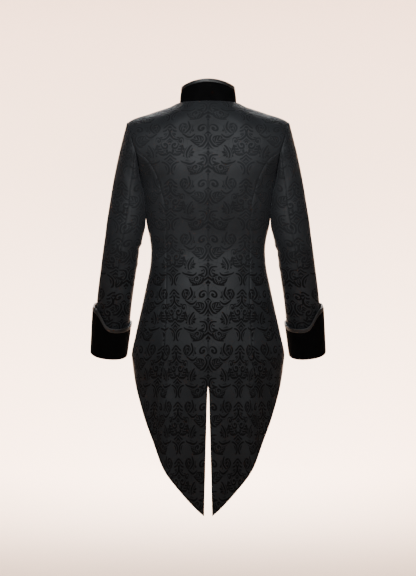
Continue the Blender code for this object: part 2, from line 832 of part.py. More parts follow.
def add_cuffs():
    """The turned-back cuffs and the edging along their tops."""
    points = cuff_grid()
    middle = [sum(line, Vector()) / len(line) for line in points]
    middle[-3:] = [m + Vector((0, 0, 0.05)) for m in middle[-3:]]
    normals = grid_normals(points, True, lambda i: middle[i])
    inner = moved_out(points, normals, -VELVET)
    for side, turned in (("left", False), ("right", True)):
        grids = [mirrored(grid) if turned else grid for grid in (points, inner, normals)]
        add_wall("cuff_" + side, grids[0], grids[1], "velvet", wrap=True)
        add_binding("cuff_binding_" + side, *grids, wrap=True)


def neck_ring():
    """The neckline from the throat round the nape to the throat, with the collar's height there."""
    half = []
    for angle in BACK_NECK_ANGLES:
        x = NECK_HALF_WIDTH * math.sin(math.radians(angle))
        z = back_neck_height(x)
        point = body_point(angle_at(x, z), z)
        if angle == 90:
            point.y = 0.0
        height = mix(COLLAR_SIDE_HEIGHT, COLLAR_BACK_HEIGHT, math.cos(math.radians(angle)) ** 2)
        half.append((point, height))
    front_angles = FRONT_NECK_ANGLES[1:]
    front_angles.append(math.degrees(math.acos(LAP_FULL_FROM / NECK_HALF_WIDTH)))
    front_angles.append(COLLAR_END_ANGLE)
    for angle in front_angles:
        x, z = front_neck(angle)
        point = body_point(angle_at(x, z, front=True), z)
        height = mix(COLLAR_SIDE_HEIGHT, COLLAR_FRONT_HEIGHT, ease(angle / 60))
        half.append((point, height))
    other = [(Vector((-p.x, p.y, p.z)), height) for p, height in half[1:]]
    return list(reversed(other)) + half


def add_collar():
    """The standing collar and its edging."""
    ring = neck_ring()
    rows = [[] for _ in range(5)]
    for point, height in ring:
        radial = Vector((point.x, point.y, 0)).normalized()
        base = point + Vector((0, 0, COLLAR_BASE_GAP)) - radial * 0.0004
        if point.y < 0:
            base.z += COLLAR_LAP_RISE * ease((COLLAR_RISE_FROM - abs(point.x)) / LAP_FULL_FROM)
        top = base + Vector((0, 0, height)) - radial * COLLAR_LEAN
        levels = [1.0, 1.0 - 0.011 / height, 0.5, 0.25, 0.0]
        for row, level in zip(rows, levels):
            bulge = 0.0012 * math.sin(math.pi * level)
            row.append(mix(base, top, level) + radial * bulge)
    normals = grid_normals(rows, False, lambda i: Vector((0, 0, rows[i][0].z)))
    inner = moved_out(rows, normals, -VELVET)
    add_wall("collar", rows, inner, "velvet")
    add_binding("collar_binding", rows, inner, normals, wrap=False)


def add_button(name, drop):
    """A plain domed button on the left front's overlap, set square to the cloth."""
    away = body_normal(180.0, -drop)
    seat = body_point(180.0, -drop)
    reach = 2 * BUTTON_RADIUS
    chord = (body_point(180.0, reach - drop) + body_point(180.0, -reach - drop)) / 2
    seat += away * (CLOTH + LAP_GAP + SEAM_GAP + max((chord - seat).dot(away), 0.0))
    side = Vector((1, 0, 0))
    up = away.cross(side).normalized()
    profile = [(0.90, 0.0), (1.0, 0.30), (0.94, 0.72), (0.66, 1.0)]
    bm = bmesh.new()
    rings = []
    for radius, height in profile:
        ring = []
        for k in range(BUTTON_SIDES):
            turn = 2 * math.pi * k / BUTTON_SIDES
            spoke = side * math.cos(turn) + up * math.sin(turn)
            at = seat + spoke * (radius * BUTTON_RADIUS) + away * (height * BUTTON_THICKNESS)
            ring.append(bm.verts.new(at))
        rings.append(ring)
    for low, high in zip(rings, rings[1:]):
        for k in range(BUTTON_SIDES):
            n = (k + 1) % BUTTON_SIDES
            bm.faces.new((low[k], low[n], high[n], high[k]))
    bm.faces.new(rings[0])
    bm.faces.new(rings[-1])
    add_object(name, bm, "button")


def add_buttons():
    """The row of buttons down the front."""
    for i in range(BUTTON_COUNT):
        add_button(f"button_{i + 1}", FIRST_BUTTON_DROP + i * BUTTON_SPACING)


def main():
    for old in list(bpy.data.objects):
        bpy.data.objects.remove(old)
    add_body()
    add_sleeves()
    add_cuffs()
    add_collar()
    add_buttons()


main()
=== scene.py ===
# %% [markdown]
# # A brocade tailcoat, cut, sewn and lit
# The coat is shown from behind, filled out as when worn. Every cloth piece below follows one surface
# that is worked out from a few tables, so that seams meet without any fitting. We start by loading
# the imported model, which gives the fixed frame that every piece has to keep to.

# %% Load the frame
import math

import bmesh
import bpy
import numpy as np
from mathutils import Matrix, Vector


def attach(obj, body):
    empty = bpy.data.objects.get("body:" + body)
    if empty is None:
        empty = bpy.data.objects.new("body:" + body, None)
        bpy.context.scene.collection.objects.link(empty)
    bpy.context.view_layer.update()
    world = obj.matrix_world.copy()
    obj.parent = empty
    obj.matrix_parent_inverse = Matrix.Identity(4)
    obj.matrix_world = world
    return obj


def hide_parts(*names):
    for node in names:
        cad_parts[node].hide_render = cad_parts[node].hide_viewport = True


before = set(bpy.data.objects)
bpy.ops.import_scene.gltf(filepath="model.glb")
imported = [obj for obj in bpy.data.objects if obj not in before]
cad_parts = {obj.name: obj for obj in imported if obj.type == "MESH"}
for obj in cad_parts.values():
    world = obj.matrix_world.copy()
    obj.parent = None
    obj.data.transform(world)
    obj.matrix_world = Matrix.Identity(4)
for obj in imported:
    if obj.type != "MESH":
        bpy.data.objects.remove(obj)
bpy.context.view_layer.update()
print("nodes:", len(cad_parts))

# %% [markdown]
# ## Nodes in short
# Every surface below is a small node tree. Wired one link at a time, such a tree is long and hard to
# read, so a few helpers come first. One makes a node and fills in its inputs, and a number in a tree
# can be added to and multiplied like any other number, which adds the Math nodes by itself.

# %% Helpers for nodes
def feed(tree, made, inputs):
    """Set inputs of a node, each to a value or to the output of another node."""
    for key, value in inputs.items():
        value = value.socket if isinstance(value, Number) else value
        if isinstance(value, bpy.types.NodeSocket):
            tree.links.new(value, made.inputs[key])
        else:
            made.inputs[key].default_value = value
    return made


def node(tree, kind, inputs, **settings):
    """A new node with its settings and inputs."""
    made = tree.nodes.new(kind)
    for key, value in settings.items():
        setattr(made, key, value)
    return feed(tree, made, inputs)


class Number:
    """A number in a node tree, so that a sum of numbers is written as a sum."""

    def __init__(self, tree, socket):
        self.tree, self.socket = tree, socket

    def do(self, operation, *others):
        return maths(self.tree, operation, self, *others)

    def __add__(self, other):
        return self.do("ADD", other)

    def __sub__(self, other):
        return self.do("SUBTRACT", other)

    def __rsub__(self, other):
        return maths(self.tree, "SUBTRACT", other, self)

    def __mul__(self, other):
        return self.do("MULTIPLY", other)

    def __truediv__(self, other):
        return self.do("DIVIDE", other)

    def __pow__(self, other):
        return self.do("POWER", other)

    def __abs__(self):
        return self.do("ABSOLUTE")

    def scaled(self, factor, shift):
        """The number times a factor, plus a shift."""
        return self.do("MULTIPLY_ADD", factor, shift)

    def held(self):
        """The same number, held between 0 and 1."""
        self.socket.node.use_clamp = True
        return self


def maths(tree, operation, *values):
    """One Math node."""
    made = node(tree, "ShaderNodeMath", dict(enumerate(values)), operation=operation)
    return Number(tree, made.outputs[0])


def new_material(name):
    """A material with its tree and its Principled shader."""
    made = bpy.data.materials.new(name)
    made.use_nodes = True
    return made, made.node_tree, made.node_tree.nodes["Principled BSDF"]


def object_place(tree):
    return node(tree, "ShaderNodeTexCoord", {}).outputs["Object"]


def ramp(tree, value, *stops, colour=(1.0, 1.0, 1.0)):
    """A colour ramp. Each stop is a position, and a colour or a share of the one given."""
    made = node(tree, "ShaderNodeValToRGB", {"Fac": value})
    elements = made.color_ramp.elements
    while len(elements) < len(stops):
        elements.new(0.5)
    for element, (position, tone) in zip(elements, stops):
        element.position = position
        element.color = (*(tone if isinstance(tone, tuple) else [tone * part for part in colour]), 1.0)
    return made.outputs["Color"]


print("signs that work on a number in a tree: + - * / ** and abs")

# %% [markdown]
# ## Camera, floor and light
# The photo looks level at the back from several metres away, so a long lens on a camera that stands
# at half of the picture's height gives the same flat view. One picture pixel is 2.7 mm at the coat.
# The floor runs up into a wall in one curved sweep, as studio paper does, so no line crosses the
# picture. The wall is nearly 8 m beyond the coat, so that a camera before the coat isn't blocked by
# it, and it has lights of its own. They make it almost white, while the coat gets little more than
# one small soft box that leaves its black cloth black.

# %% Camera
PIXEL = 0.0027
PICTURE_ROWS = 576
PICTURE_HEIGHT = PICTURE_ROWS * PIXEL
CAMERA_PLACE = (0.0003, 6.0, -0.5000)
SENSOR = 24.0


def add_object(name, data):
    """A new object in the scene."""
    made = bpy.data.objects.new(name, data)
    bpy.context.scene.collection.objects.link(made)
    return made


camera = add_object("camera", bpy.data.cameras.new("camera"))
camera.location = CAMERA_PLACE
camera.rotation_euler = (math.radians(90), 0, math.radians(180))
camera.data.sensor_fit = "VERTICAL"
camera.data.sensor_height = SENSOR
camera.data.lens = SENSOR * CAMERA_PLACE[1] / PICTURE_HEIGHT
bpy.context.scene.camera = camera
print("lens:", round(camera.data.lens, 1), "mm")

# %% Floor and backdrop
FLOOR_HEIGHT = -1.42
FLOOR_END = 9.0
SWEEP_START = -5.3
SWEEP_RADIUS = 2.5
SWEEP_STEPS = 24
WALL_TOP = 5.0
STAGE_HALF_WIDTH = 7.0
PAPER_MIDDLE = (0.0, 0.0, 0.07)
PAPER_SCALE = (0.22, 0.0, 0.17)
# distance from the paper's middle, colour: cream in the middle, darker towards a warm grey further out, a
# painted falloff of light
PAPER_TONE_WITH_PAINTED_FALLOFF = [
    (0.08, (0.900, 0.670, 0.530)), (0.24, (0.860, 0.600, 0.450)),
    (0.46, (0.680, 0.450, 0.330)), (1.0, (0.680, 0.560, 0.480)),
]


def paper_with_painted_falloff():
    """Cream studio paper, darker away from its middle, where the falloff of light is painted into its
    colour.
    """
    made, tree, shader = new_material("studio paper")
    mapping = node(tree, "ShaderNodeMapping", {
        "Vector": object_place(tree), "Location": PAPER_MIDDLE, "Scale": PAPER_SCALE}, vector_type="POINT")
    length = node(tree, "ShaderNodeVectorMath", {0: mapping.outputs["Vector"]}, operation="LENGTH")
    # the ramp paints the paper darker away from its middle, as painted shade of a light falloff
    feed(tree, shader, {"Base Color": ramp(tree, length.outputs["Value"], *PAPER_TONE_WITH_PAINTED_FALLOFF),
                        "Roughness": 1.0, "Specular IOR Level": 0.0})
    return made


def add_stage():
    """The floor and the wall beyond the coat, in one sweep."""
    turns = np.radians(np.linspace(0, 90, SWEEP_STEPS + 1)[1:])
    sweep = zip(SWEEP_START - SWEEP_RADIUS * np.sin(turns),
                FLOOR_HEIGHT + SWEEP_RADIUS * (1 - np.cos(turns)))
    profile = [(FLOOR_END, FLOOR_HEIGHT), (SWEEP_START, FLOOR_HEIGHT), *sweep]
    profile.append((SWEEP_START - SWEEP_RADIUS, WALL_TOP))
    corners = [(x, y, z) for y, z in profile for x in (-STAGE_HALF_WIDTH, STAGE_HALF_WIDTH)]
    faces = [(i, i + 1, i + 3, i + 2) for i in range(0, len(corners) - 2, 2)]
    mesh = bpy.data.meshes.new("backdrop")
    mesh.from_pydata(corners, [], faces)
    mesh.shade_smooth()
    mesh.materials.append(paper_with_painted_falloff())
    made = add_object("backdrop", mesh)


add_stage()
print("floor at", FLOOR_HEIGHT)

# %% Lights
LIGHT_COLOUR = (0.97, 0.985, 1.0)
ROOM_COLOUR = (1.0, 0.965, 0.93, 1.0)
ROOM_STRENGTH = 0.12
LIGHTS = [
    # name, place, aimed at, width, height, watts, spread in degrees
    ("key", (0.0, 1.8, 0.32), (0.0, 0.0, -0.10), 0.6, 0.5, 18.0, 92.0),
    ("left wall", (3.0, -5.4, 0.3), (0.3, -7.8, -0.30), 1.0, 2.6, 560.0, 180.0),
    ("right wall", (-3.0, -5.4, 0.3), (-0.3, -7.8, -0.30), 1.0, 2.6, 560.0, 180.0),
    ("floor", (0.0, -4.0, 1.15), (0.0, -4.1, -1.42), 3.6, 4.2, 500.0, 125.0),
    ("front", (0.0, -2.2, 1.3), (0.0, -0.1, -0.30), 1.2, 0.6, 16.0, 90.0),
]


def add_light(name, place, target, width, height, watts, spread):
    """A soft box that looks at a target."""
    data = bpy.data.lights.new(name, "AREA")
    data.shape = "RECTANGLE"
    data.size, data.size_y = width, height
    data.energy = watts
    data.spread = math.radians(spread)
    data.color = LIGHT_COLOUR
    made = add_object(name, data)
    made.location = place
    made.rotation_euler = (Vector(target) - Vector(place)).to_track_quat("-Z", "Y").to_euler()


for row in LIGHTS:
    add_light(*row)
world = bpy.data.worlds.new("room")
bpy.context.scene.world = world
world.use_nodes = True
feed(world.node_tree, world.node_tree.nodes["Background"],
     {"Color": ROOM_COLOUR, "Strength": ROOM_STRENGTH})
print("lights:", len(LIGHTS))

# %% [markdown]
# ## The surface of the coat
# A fitted coat is a tube whose section changes with height. Each section is a rounded rectangle
# between an ellipse and a box. Its half width and its depths come from a table, read as smooth
# curves. Over the shoulders the depth closes to nothing along the shoulder seam. A point of the
# cloth is then named by the angle round the body and the height, and the same two numbers serve
# every seam and every crease.

# %% Smooth curves through tables
# wall thicknesses of the solids
CLOTH = 0.0022
VELVET = 0.0024
SATIN = 0.0008
# air between the two fronts, air between pieces, and how far a sewn edge runs into its neighbour
LAP_GAP = 0.0005
SEAM_GAP = 0.0003
SEAM_LAP = 0.0005


def smooth_curve(keys, values):
    """A function that runs smoothly through the points and never overshoots them."""
    order = np.argsort(keys)
    xs, ys = np.array(keys, float)[order], np.array(values, float)[order]
    steps = np.diff(xs)
    slopes = np.diff(ys) / steps
    tangents = np.concatenate([slopes[:1], np.zeros(len(xs) - 2), slopes[-1:]])
    before, after = slopes[:-1], slopes[1:]
    same = before * after > 0
    total = np.where(same, before + after, 1.0)
    tangents[1:-1] = np.where(same, 2 * before * after / total, 0.0)

    def value(x):
        x = np.clip(np.asarray(x, float), xs[0], xs[-1])
        i = np.clip(np.searchsorted(xs, x) - 1, 0, len(xs) - 2)
        t = (x - xs[i]) / steps[i]
        return (ys[i] * (1 + 2 * t) * (1 - t) ** 2 + tangents[i] * steps[i] * t * (1 - t) ** 2
                + ys[i + 1] * t * t * (3 - 2 * t) + tangents[i + 1] * steps[i] * t * t * (t - 1))

    return value


def columns(table):
    """One smooth curve for each column of a table after the first, which is the key."""
    data = list(zip(*table))
    return [smooth_curve(data[0], values) for values in data[1:]]


def mix(a, b, t):
    return a + (b - a) * t


def ease(t):
    t = np.clip(t, 0.0, 1.0)
    return t * t * (3 - 2 * t)


def signed_power(value, power):
    return np.sign(value) * np.abs(value) ** power


def bell(distance, width):
    return np.exp(-(distance / width) ** 2)


def unit(vectors):
    return vectors / np.maximum(np.linalg.norm(vectors, axis=-1, keepdims=True), 1e-12)


print("walls in mm:", [round(wall_thickness * 1000, 2) for wall_thickness in (CLOTH, VELVET, SATIN)])

# %% Sections of the body
NECK_HALF_WIDTH = 0.077
NAPE_RISE = 0.0012
THROAT_DROP = 0.075
SHOULDER_HALF_WIDTH = 0.216
SHOULDER_DROP = 0.053
UNDERARM_DROP = 0.215
SHOULDER_ROLL = 0.060
BACK_CORNER = 2.45
FRONT_CORNER = 2.3

# height, half width, depth of the back, depth of the front
BODY = [
    (0.040, 0.250, 0.058, 0.020), (0.000, 0.250, 0.076, 0.040), (-0.030, 0.250, 0.089, 0.058),
    (-0.075, 0.250, 0.107, 0.078), (-0.100, 0.248, 0.114, 0.089), (-0.140, 0.236, 0.121, 0.103),
    (-0.180, 0.205, 0.123, 0.112), (-0.215, 0.184, 0.120, 0.117), (-0.250, 0.1775, 0.115, 0.118),
    (-0.290, 0.1710, 0.106, 0.116), (-0.335, 0.1642, 0.095, 0.111), (-0.367, 0.1566, 0.088, 0.108),
    (-0.400, 0.1534, 0.084, 0.106), (-0.432, 0.1550, 0.087, 0.107), (-0.497, 0.1670, 0.104, 0.114),
    (-0.562, 0.1810, 0.119, 0.120), (-0.626, 0.1952, 0.129, 0.124), (-0.683, 0.2057, 0.133, 0.124),
    (-0.715, 0.2020, 0.134, 0.124), (-0.760, 0.1985, 0.134, 0.124), (-0.900, 0.1960, 0.131, 0.120),
    (-1.120, 0.1960, 0.123, 0.110),
]
# distance from the middle, height
SHOULDER_LINE = [
    (0.0, 0.035), (0.040, 0.022), (0.077, 0.0), (0.0975, -0.011), (0.1266, -0.0215),
    (0.1604, -0.0325), (0.1950, -0.0432), (0.2160, -0.0530),
]
# height, distance from the middle
ARMHOLE_EDGE = [
    (-0.0530, 0.2160), (-0.0750, 0.2110), (-0.1020, 0.2030), (-0.1340, 0.1930), (-0.1650, 0.1865),
    (-0.1900, 0.1835), (-0.2070, 0.1828), (-0.2150, 0.1840),
]
PRINCESS_SEAM = [
    (-0.134, 0.1930), (-0.152, 0.1700), (-0.178, 0.1495), (-0.232, 0.1280), (-0.300, 0.1142),
    (-0.400, 0.1120), (-0.530, 0.1122), (-0.610, 0.1146), (-0.745, 0.1225), (-0.870, 0.1347),
    (-0.928, 0.1411), (-1.1045, 0.1470),
]
TAIL_EDGE = [
    (-0.683, 0.2057), (-0.707, 0.2030), (-0.770, 0.1894), (-0.864, 0.1648), (-0.928, 0.1411),
    (-0.990, 0.1113), (-1.038, 0.0773), (-1.085, 0.0328), (-1.1045, 0.0108),
]
# angle round the body, spread, height, where it starts, where it is full
FLUTES = [
    (17.0, 9.0, -0.0050, -0.50, -0.95), (31.0, 8.0, 0.0055, -0.52, -0.90),
    (46.0, 8.0, -0.0040, -0.56, -0.86), (70.0, 10.0, 0.0030, -0.52, -0.70),
    (118.0, 12.0, -0.0025, -0.46, -0.62),
]

half_width, back_depth, front_depth = columns(BODY)
(ridge_height,) = columns(SHOULDER_LINE)
(armhole_x,) = columns(ARMHOLE_EDGE)
(princess_x,) = columns(PRINCESS_SEAM)
(tail_edge_x,) = columns(TAIL_EDGE)


def flute(angle, z):
    """How far the soft flutes of the skirt stand out."""
    angle = np.minimum(np.abs(angle), 360 - np.abs(angle))
    moved = 0.0
    for middle, spread, height, start, full in FLUTES:
        moved = moved + height * ease((start - z) / (start - full)) * bell(angle - middle, spread)
    return moved


def body_point(angle, z):
    """Points of the coat's surface: 0 is centre back, 90 the side, 180 centre front."""
    sine, cosine = np.sin(np.radians(angle)), np.cos(np.radians(angle))
    cosine = np.where(np.abs(cosine) < 1e-12, 0.0, cosine)
    corner = np.where(cosine > 0, BACK_CORNER, FRONT_CORNER)
    depth = np.where(cosine > 0, back_depth(z), front_depth(z))
    width = half_width(z)
    x, y = width * signed_power(sine, 2 / corner), depth * signed_power(cosine, 2 / corner)
    out_x, out_y = x / width ** 2, y / depth ** 2
    size = np.hypot(out_x, out_y)
    moved = flute(angle, z) / np.maximum(size, 1e-9)
    t = np.clip((ridge_height(np.abs(x)) - z) / SHOULDER_ROLL, 0.0, 1.0)
    roll = np.sqrt(1 - (1 - t) ** 2)
    return np.stack([x + out_x * moved, y * roll + out_y * moved, z + 0 * x], axis=-1)


def angle_at(x, z, front=False):
    """The angle of the point at x on the ring of height z."""
    corner = np.where(front, FRONT_CORNER, BACK_CORNER)
    share = np.minimum(np.abs(x) / half_width(z), 1.0)
    angle = np.degrees(np.arcsin(share ** (corner / 2)))
    return np.where(front, 180 - np.copysign(angle, x), angle)


waist = body_point(np.array([0.0, 90.0, 180.0]), np.array([-0.40] * 3))
print("waist, centre back, side and centre front:", waist.round(3).tolist())

# %% [markdown]
# ## Cutting the panels
# A panel is a patch of that surface between two seams. It is drawn as a grid of rows and columns
# whose outer lines are the seams themselves, so two neighbours share the same edge. The rows crowd
# together near an edge, because the cloth turns in sharply there, and that turn is what makes a
# seam read as a seam. Where a column of the grid meets the curved hem isn't known beforehand, so its
# lower end is found by halving.

# %% Grids
EDGE_STEPS = [0.035, 0.09, 0.18, 0.34]


def refine(values, steps, dense_start=True, dense_end=True):
    """The values with more between them, crowded together at the ends."""
    last = len(values) - 1
    places = list(np.linspace(0, last, last * steps + 1))
    if dense_start:
        places += EDGE_STEPS
    if dense_end:
        places += [last - step for step in EDGE_STEPS]
    places = np.array(sorted(places))
    keep = np.concatenate([[True], np.diff(places) > 0.02])
    return np.interp(places[keep], np.arange(last + 1), values)


def solve(function, low, high):
    """Where a function crosses zero between two values, by halving."""
    sign = function(low) > 0
    for _ in range(40):
        middle = (low + high) / 2
        if (function(middle) > 0) == sign:
            low = middle
        else:
            high = middle
    return (low + high) / 2


def armhole_drop(angle):
    """The depth of the armhole's edge by angle round the armhole, from its top down the back."""
    middle = (SHOULDER_DROP + UNDERARM_DROP) / 2
    return middle - (UNDERARM_DROP - SHOULDER_DROP) / 2 * np.cos(np.radians(angle))


ARMHOLE_UPPER = [0.0, 10.0, 22.0, 38.0, 55.0, 72.0, 90.0]
ARMHOLE_LOWER = [90.0, 112.5, 135.0, 157.5, 180.0]
PRINCESS_ROWS = [0.134, 0.160, 0.190, 0.225, 0.265, 0.310, 0.355, 0.400, 0.445,
                 0.495, 0.550, 0.610, 0.675, 0.740, 0.805, 0.867, 0.928]
SHOULDER_COLUMNS = [0.077, 0.112, 0.145, 0.170, 0.190, 0.205, 0.216]
ROW_STEPS = 6
COLUMN_STEPS = 4

# %% The back
VENT_TOP_DROP = 0.758
VENT_GAP_AT_TOP = 0.002
VENT_GAP_AT_TIP = 0.011
TAIL_TIP_DROP = 1.1045
PRINCESS_END_DROP = 0.928
SIDE_HEM_DROP = 0.683
BACK_NECK_ANGLES = [0, 20, 40, 60, 75]


def centre_edge_x(z):
    """The centre-back seam, then the edge of the vent down to the tip."""
    share = np.clip((-VENT_TOP_DROP - z) / (TAIL_TIP_DROP - VENT_TOP_DROP), 0, 1)
    return ease(share * 20) * VENT_GAP_AT_TOP + (VENT_GAP_AT_TIP - VENT_GAP_AT_TOP) * share


def back_outer_x(z):
    """The back's outer edge: the armhole, then the princess seam."""
    upper = np.where(z >= -SHOULDER_DROP, SHOULDER_HALF_WIDTH, armhole_x(z))
    return np.where(z >= -PRINCESS_ROWS[0], upper, princess_x(z))


def back_neck_height(x):
    return NAPE_RISE * (1 - (x / NECK_HALF_WIDTH) ** 2)


def back_places():
    """The angle and the height of each point of half of the back."""
    upper = refine(ARMHOLE_UPPER, ROW_STEPS, True, False)[:-1]
    edge = np.concatenate([armhole_drop(upper), refine(PRINCESS_ROWS, ROW_STEPS, False, True)])
    down = (edge - edge[0]) / (edge[-1] - edge[0])
    neck = [NECK_HALF_WIDTH * math.sin(math.radians(a)) for a in BACK_NECK_ANGLES]
    shares = refine([x / SHOULDER_HALF_WIDTH for x in neck + SHOULDER_COLUMNS], COLUMN_STEPS)
    angles, heights = [], []
    for share in shares:
        top_x = share * SHOULDER_HALF_WIDTH
        top = back_neck_height(top_x) if top_x < NECK_HALF_WIDTH else ridge_height(top_x)

        def past_hem(z):
            return mix(centre_edge_x(z), back_outer_x(z), share) - tail_edge_x(z)

        bottom = -PRINCESS_END_DROP
        if share < 1.0:
            bottom = solve(past_hem, -PRINCESS_END_DROP, -TAIL_TIP_DROP)
        z = mix(top, bottom, down)
        heights.append(z)
        angles.append(angle_at(mix(centre_edge_x(z), back_outer_x(z), share), z))
    return np.array(angles).T, np.array(heights).T


# %% The side back
def side_back_places():
    """The angle and the height of each point of a side back, from the armhole to the hem."""
    edge = refine(PRINCESS_ROWS, ROW_STEPS)
    down = (edge - edge[0]) / (edge[-1] - edge[0])
    armhole_angles = refine(ARMHOLE_LOWER, COLUMN_STEPS + 3)
    shares = np.interp(armhole_angles, ARMHOLE_LOWER, np.linspace(0, 1, len(ARMHOLE_LOWER)))
    angles, heights = [], []

    def between(share, z):
        return mix(angle_at(princess_x(z), z), 90.0, share)

    for share, armhole_angle in zip(shares, armhole_angles):
        top = -armhole_drop(armhole_angle)
        top_angle = 90.0 if armhole_angle == 180.0 else angle_at(armhole_x(top), top)

        def past_hem(z):
            return angle_at(tail_edge_x(z), z) - between(share, z)

        bottom = solve(past_hem, -SIDE_HEM_DROP, -PRINCESS_END_DROP)
        if share == 0.0:
            bottom = -PRINCESS_END_DROP
        if share == 1.0:
            bottom = -SIDE_HEM_DROP
        z = mix(top, bottom, down)
        shift = (top_angle - between(share, top)) * (1 - ease(down * 4))
        heights.append(z)
        angles.append(between(share, z) + shift)
    return np.array(angles).T, np.array(heights).T


# %% The fronts
FRONT_HEM_DROP = 0.478
FRONT_LAP = 0.015
LAP_FULL_FROM = 0.020
NECK_POINT_SHARE = 0.64
LAST_NECK_SHARE = 0.92
NECK_FAN = 0.003
FAN_FULL_AT = 0.04
SWEEP_SHARE = 0.3
FRONT_NECK_ANGLES = [0, 2.5, 8, 17, 34, 50, 64]
FRONT_SWEEP = [
    (-0.053, 122.3), (-0.110, 128.0), (-0.170, 124.0), (-0.215, 114.0), (-0.260, 103.0),
    (-0.320, 94.0), (-0.400, 90.0),
]
(front_sweep,) = columns(FRONT_SWEEP)


def front_neck(angle):
    turn = np.radians(angle)
    return NECK_HALF_WIDTH * np.cos(turn), -THROAT_DROP * np.sin(turn)


LAST_NECK_X = front_neck(FRONT_NECK_ANGLES[-1])[0]


def hem_drop_front(angle):
    """The depth of the cutaway hem in front of the side seam."""
    share = np.abs(np.cos(np.radians(angle))) ** (2 / FRONT_CORNER)
    return mix(SIDE_HEM_DROP, FRONT_HEM_DROP, np.sin(share * np.pi / 2) ** 1.1)


def front_edge_angle(z):
    """The angle of the front's outer edge: the armhole, then the side seam."""
    x = np.where(z >= -SHOULDER_DROP, SHOULDER_HALF_WIDTH, armhole_x(z))
    return np.where(z <= -UNDERARM_DROP, 90.0, angle_at(x, z, front=True))


def front_angle(share, z):
    """The angle a share of the way across the front, from its outer edge."""
    swept = np.maximum(front_sweep(z), front_edge_angle(z))
    start = mix(front_edge_angle(z), swept, min(share / SWEEP_SHARE, 1.0))
    return mix(start, 180.0, share)


def front_columns():
    """The x and the height at the top of each column, its share of the way across, and its sweep.

    The sweep is 1 where the column follows its share, and 0 where it keeps to its x.
    """
    made = []
    xs = refine(SHOULDER_COLUMNS[::-1], COLUMN_STEPS, True, False)
    shares = np.interp(xs, SHOULDER_COLUMNS, np.linspace(1, 0, len(SHOULDER_COLUMNS)))
    for x, share in zip(xs, shares):
        made.append((x, float(ridge_height(x)), NECK_POINT_SHARE * share, 1.0))
    for angle in refine(FRONT_NECK_ANGLES, COLUMN_STEPS, False, False)[1:]:
        share = mix(NECK_POINT_SHARE, LAST_NECK_SHARE, angle / FRONT_NECK_ANGLES[-1])
        made.append((*front_neck(angle), share, 1.0))
    for x in refine([LAST_NECK_X, LAP_FULL_FROM, 0.0, -FRONT_LAP], COLUMN_STEPS + 2, False, True)[1:]:
        top = -THROAT_DROP * math.sqrt(1 - (x / NECK_HALF_WIDTH) ** 2)
        swept = max((x - LAP_FULL_FROM) / (LAST_NECK_X - LAP_FULL_FROM), 0.0)
        made.append((x, top, LAST_NECK_SHARE, swept))
    return made


def front_places():
    """The angle and the height of each point of a front."""
    side_span = (SIDE_HEM_DROP - UNDERARM_DROP) / (PRINCESS_ROWS[-1] - PRINCESS_ROWS[0])
    side = UNDERARM_DROP + (refine(PRINCESS_ROWS, ROW_STEPS, False, True) - PRINCESS_ROWS[0]) * side_span
    armhole = refine(ARMHOLE_UPPER[:-1] + ARMHOLE_LOWER, ROW_STEPS - 1, True, False)[:-1]
    edge = np.concatenate([armhole_drop(armhole), side])
    down = (edge - SHOULDER_DROP) / (UNDERARM_DROP - SHOULDER_DROP)
    below = np.maximum(edge - UNDERARM_DROP, 0.0) / (SIDE_HEM_DROP - UNDERARM_DROP)
    angles, heights = [], []
    for x, top, share, swept in front_columns():
        end = mix(angle_at(x, -FRONT_HEM_DROP, front=True), mix(90.0, 180.0, share), swept)
        z = mix(mix(top, -UNDERARM_DROP, np.minimum(down, 1.0)), -hem_drop_front(end), below)
        tent = min(share / NECK_POINT_SHARE, (1 - share) / (1 - NECK_POINT_SHARE))
        fan = NECK_FAN * tent * np.sqrt(np.minimum(down / FAN_FULL_AT, 1.0))
        shift = angle_at(max(x, LAST_NECK_X) + fan, top, front=True) - front_angle(share, top)
        following = front_angle(share, z) + shift * (1 - ease(down * 2))
        heights.append(z)
        angles.append(mix(angle_at(min(x, LAP_FULL_FROM), z, front=True), following, swept))
    return np.array(angles).T, np.array(heights).T


for name, places in (("back", back_places), ("side back", side_back_places), ("front", front_places)):
    print(name, "grid:", places()[0].shape)

# %% [markdown]
# ## From a grid to cloth
# Each grid becomes a closed thin wall. On the way it gets the small things that make it cloth: the
# edge turns in along a seam, the pressed seam allowance shows as a faint ridge beside it, the line
# puckers a little where the thread pulls, and a hem is folded and so a touch thicker. Sewn edges
# also run half a millimetre into each other, so that no light shows through a seam. The creases are
# a table of short strokes, each with its own length, depth and width, and no two alike. Every point
# also keeps its place on the flat cloth in a UV map in metres, for the weave to follow.

# %% Lengths and directions on a grid
EDGE_DIP = 0.0010
EDGE_DIP_WIDTH = 0.0015
RIDGE_HEIGHT = 0.00040
RIDGE_FROM_EDGE = 0.0075
RIDGE_WIDTH = 0.0038
PUCKER_DEPTH = 0.00022
PUCKER_REACH = 0.009
PUCKER_PITCH = 0.0170
# what makes the puckers uneven: size and rate of each wave
UNEVEN = ((2.1, 31), (1.3, 53))
HEM_DIP = 0.0008
HEM_FOLD = 0.00035
HEM_FOLD_AT = 0.0100
HEM_FOLD_STEP = 0.003


def run_lengths(points, axis):
    """How far each point of a grid lies along its row or its column."""
    steps = np.linalg.norm(np.diff(points, axis=axis, prepend=np.take(points, [0], axis=axis)), axis=2)
    return np.cumsum(steps, axis=axis)


def directions(points, flip=False, wrap=False):
    """The outward direction at each point of a grid."""
    if wrap:
        padded = np.concatenate([points[:, -1:], points, points[:, :1]], axis=1)
        across = (padded[:, 2:] - padded[:, :-2]) / 2
    else:
        across = np.gradient(points, axis=1)
    normal = unit(np.cross(across, np.gradient(points, axis=0)))
    return -normal if flip else normal


def edge_distances(points):
    """The distance of each point from the left, right, top and bottom edge, and along that edge."""
    across, down = run_lengths(points, 1), run_lengths(points, 0)
    return {
        "left": (across, down),
        "right": (across[:, -1:] - across, down),
        "top": (down, across),
        "bottom": (down[-1:] - down, across),
    }


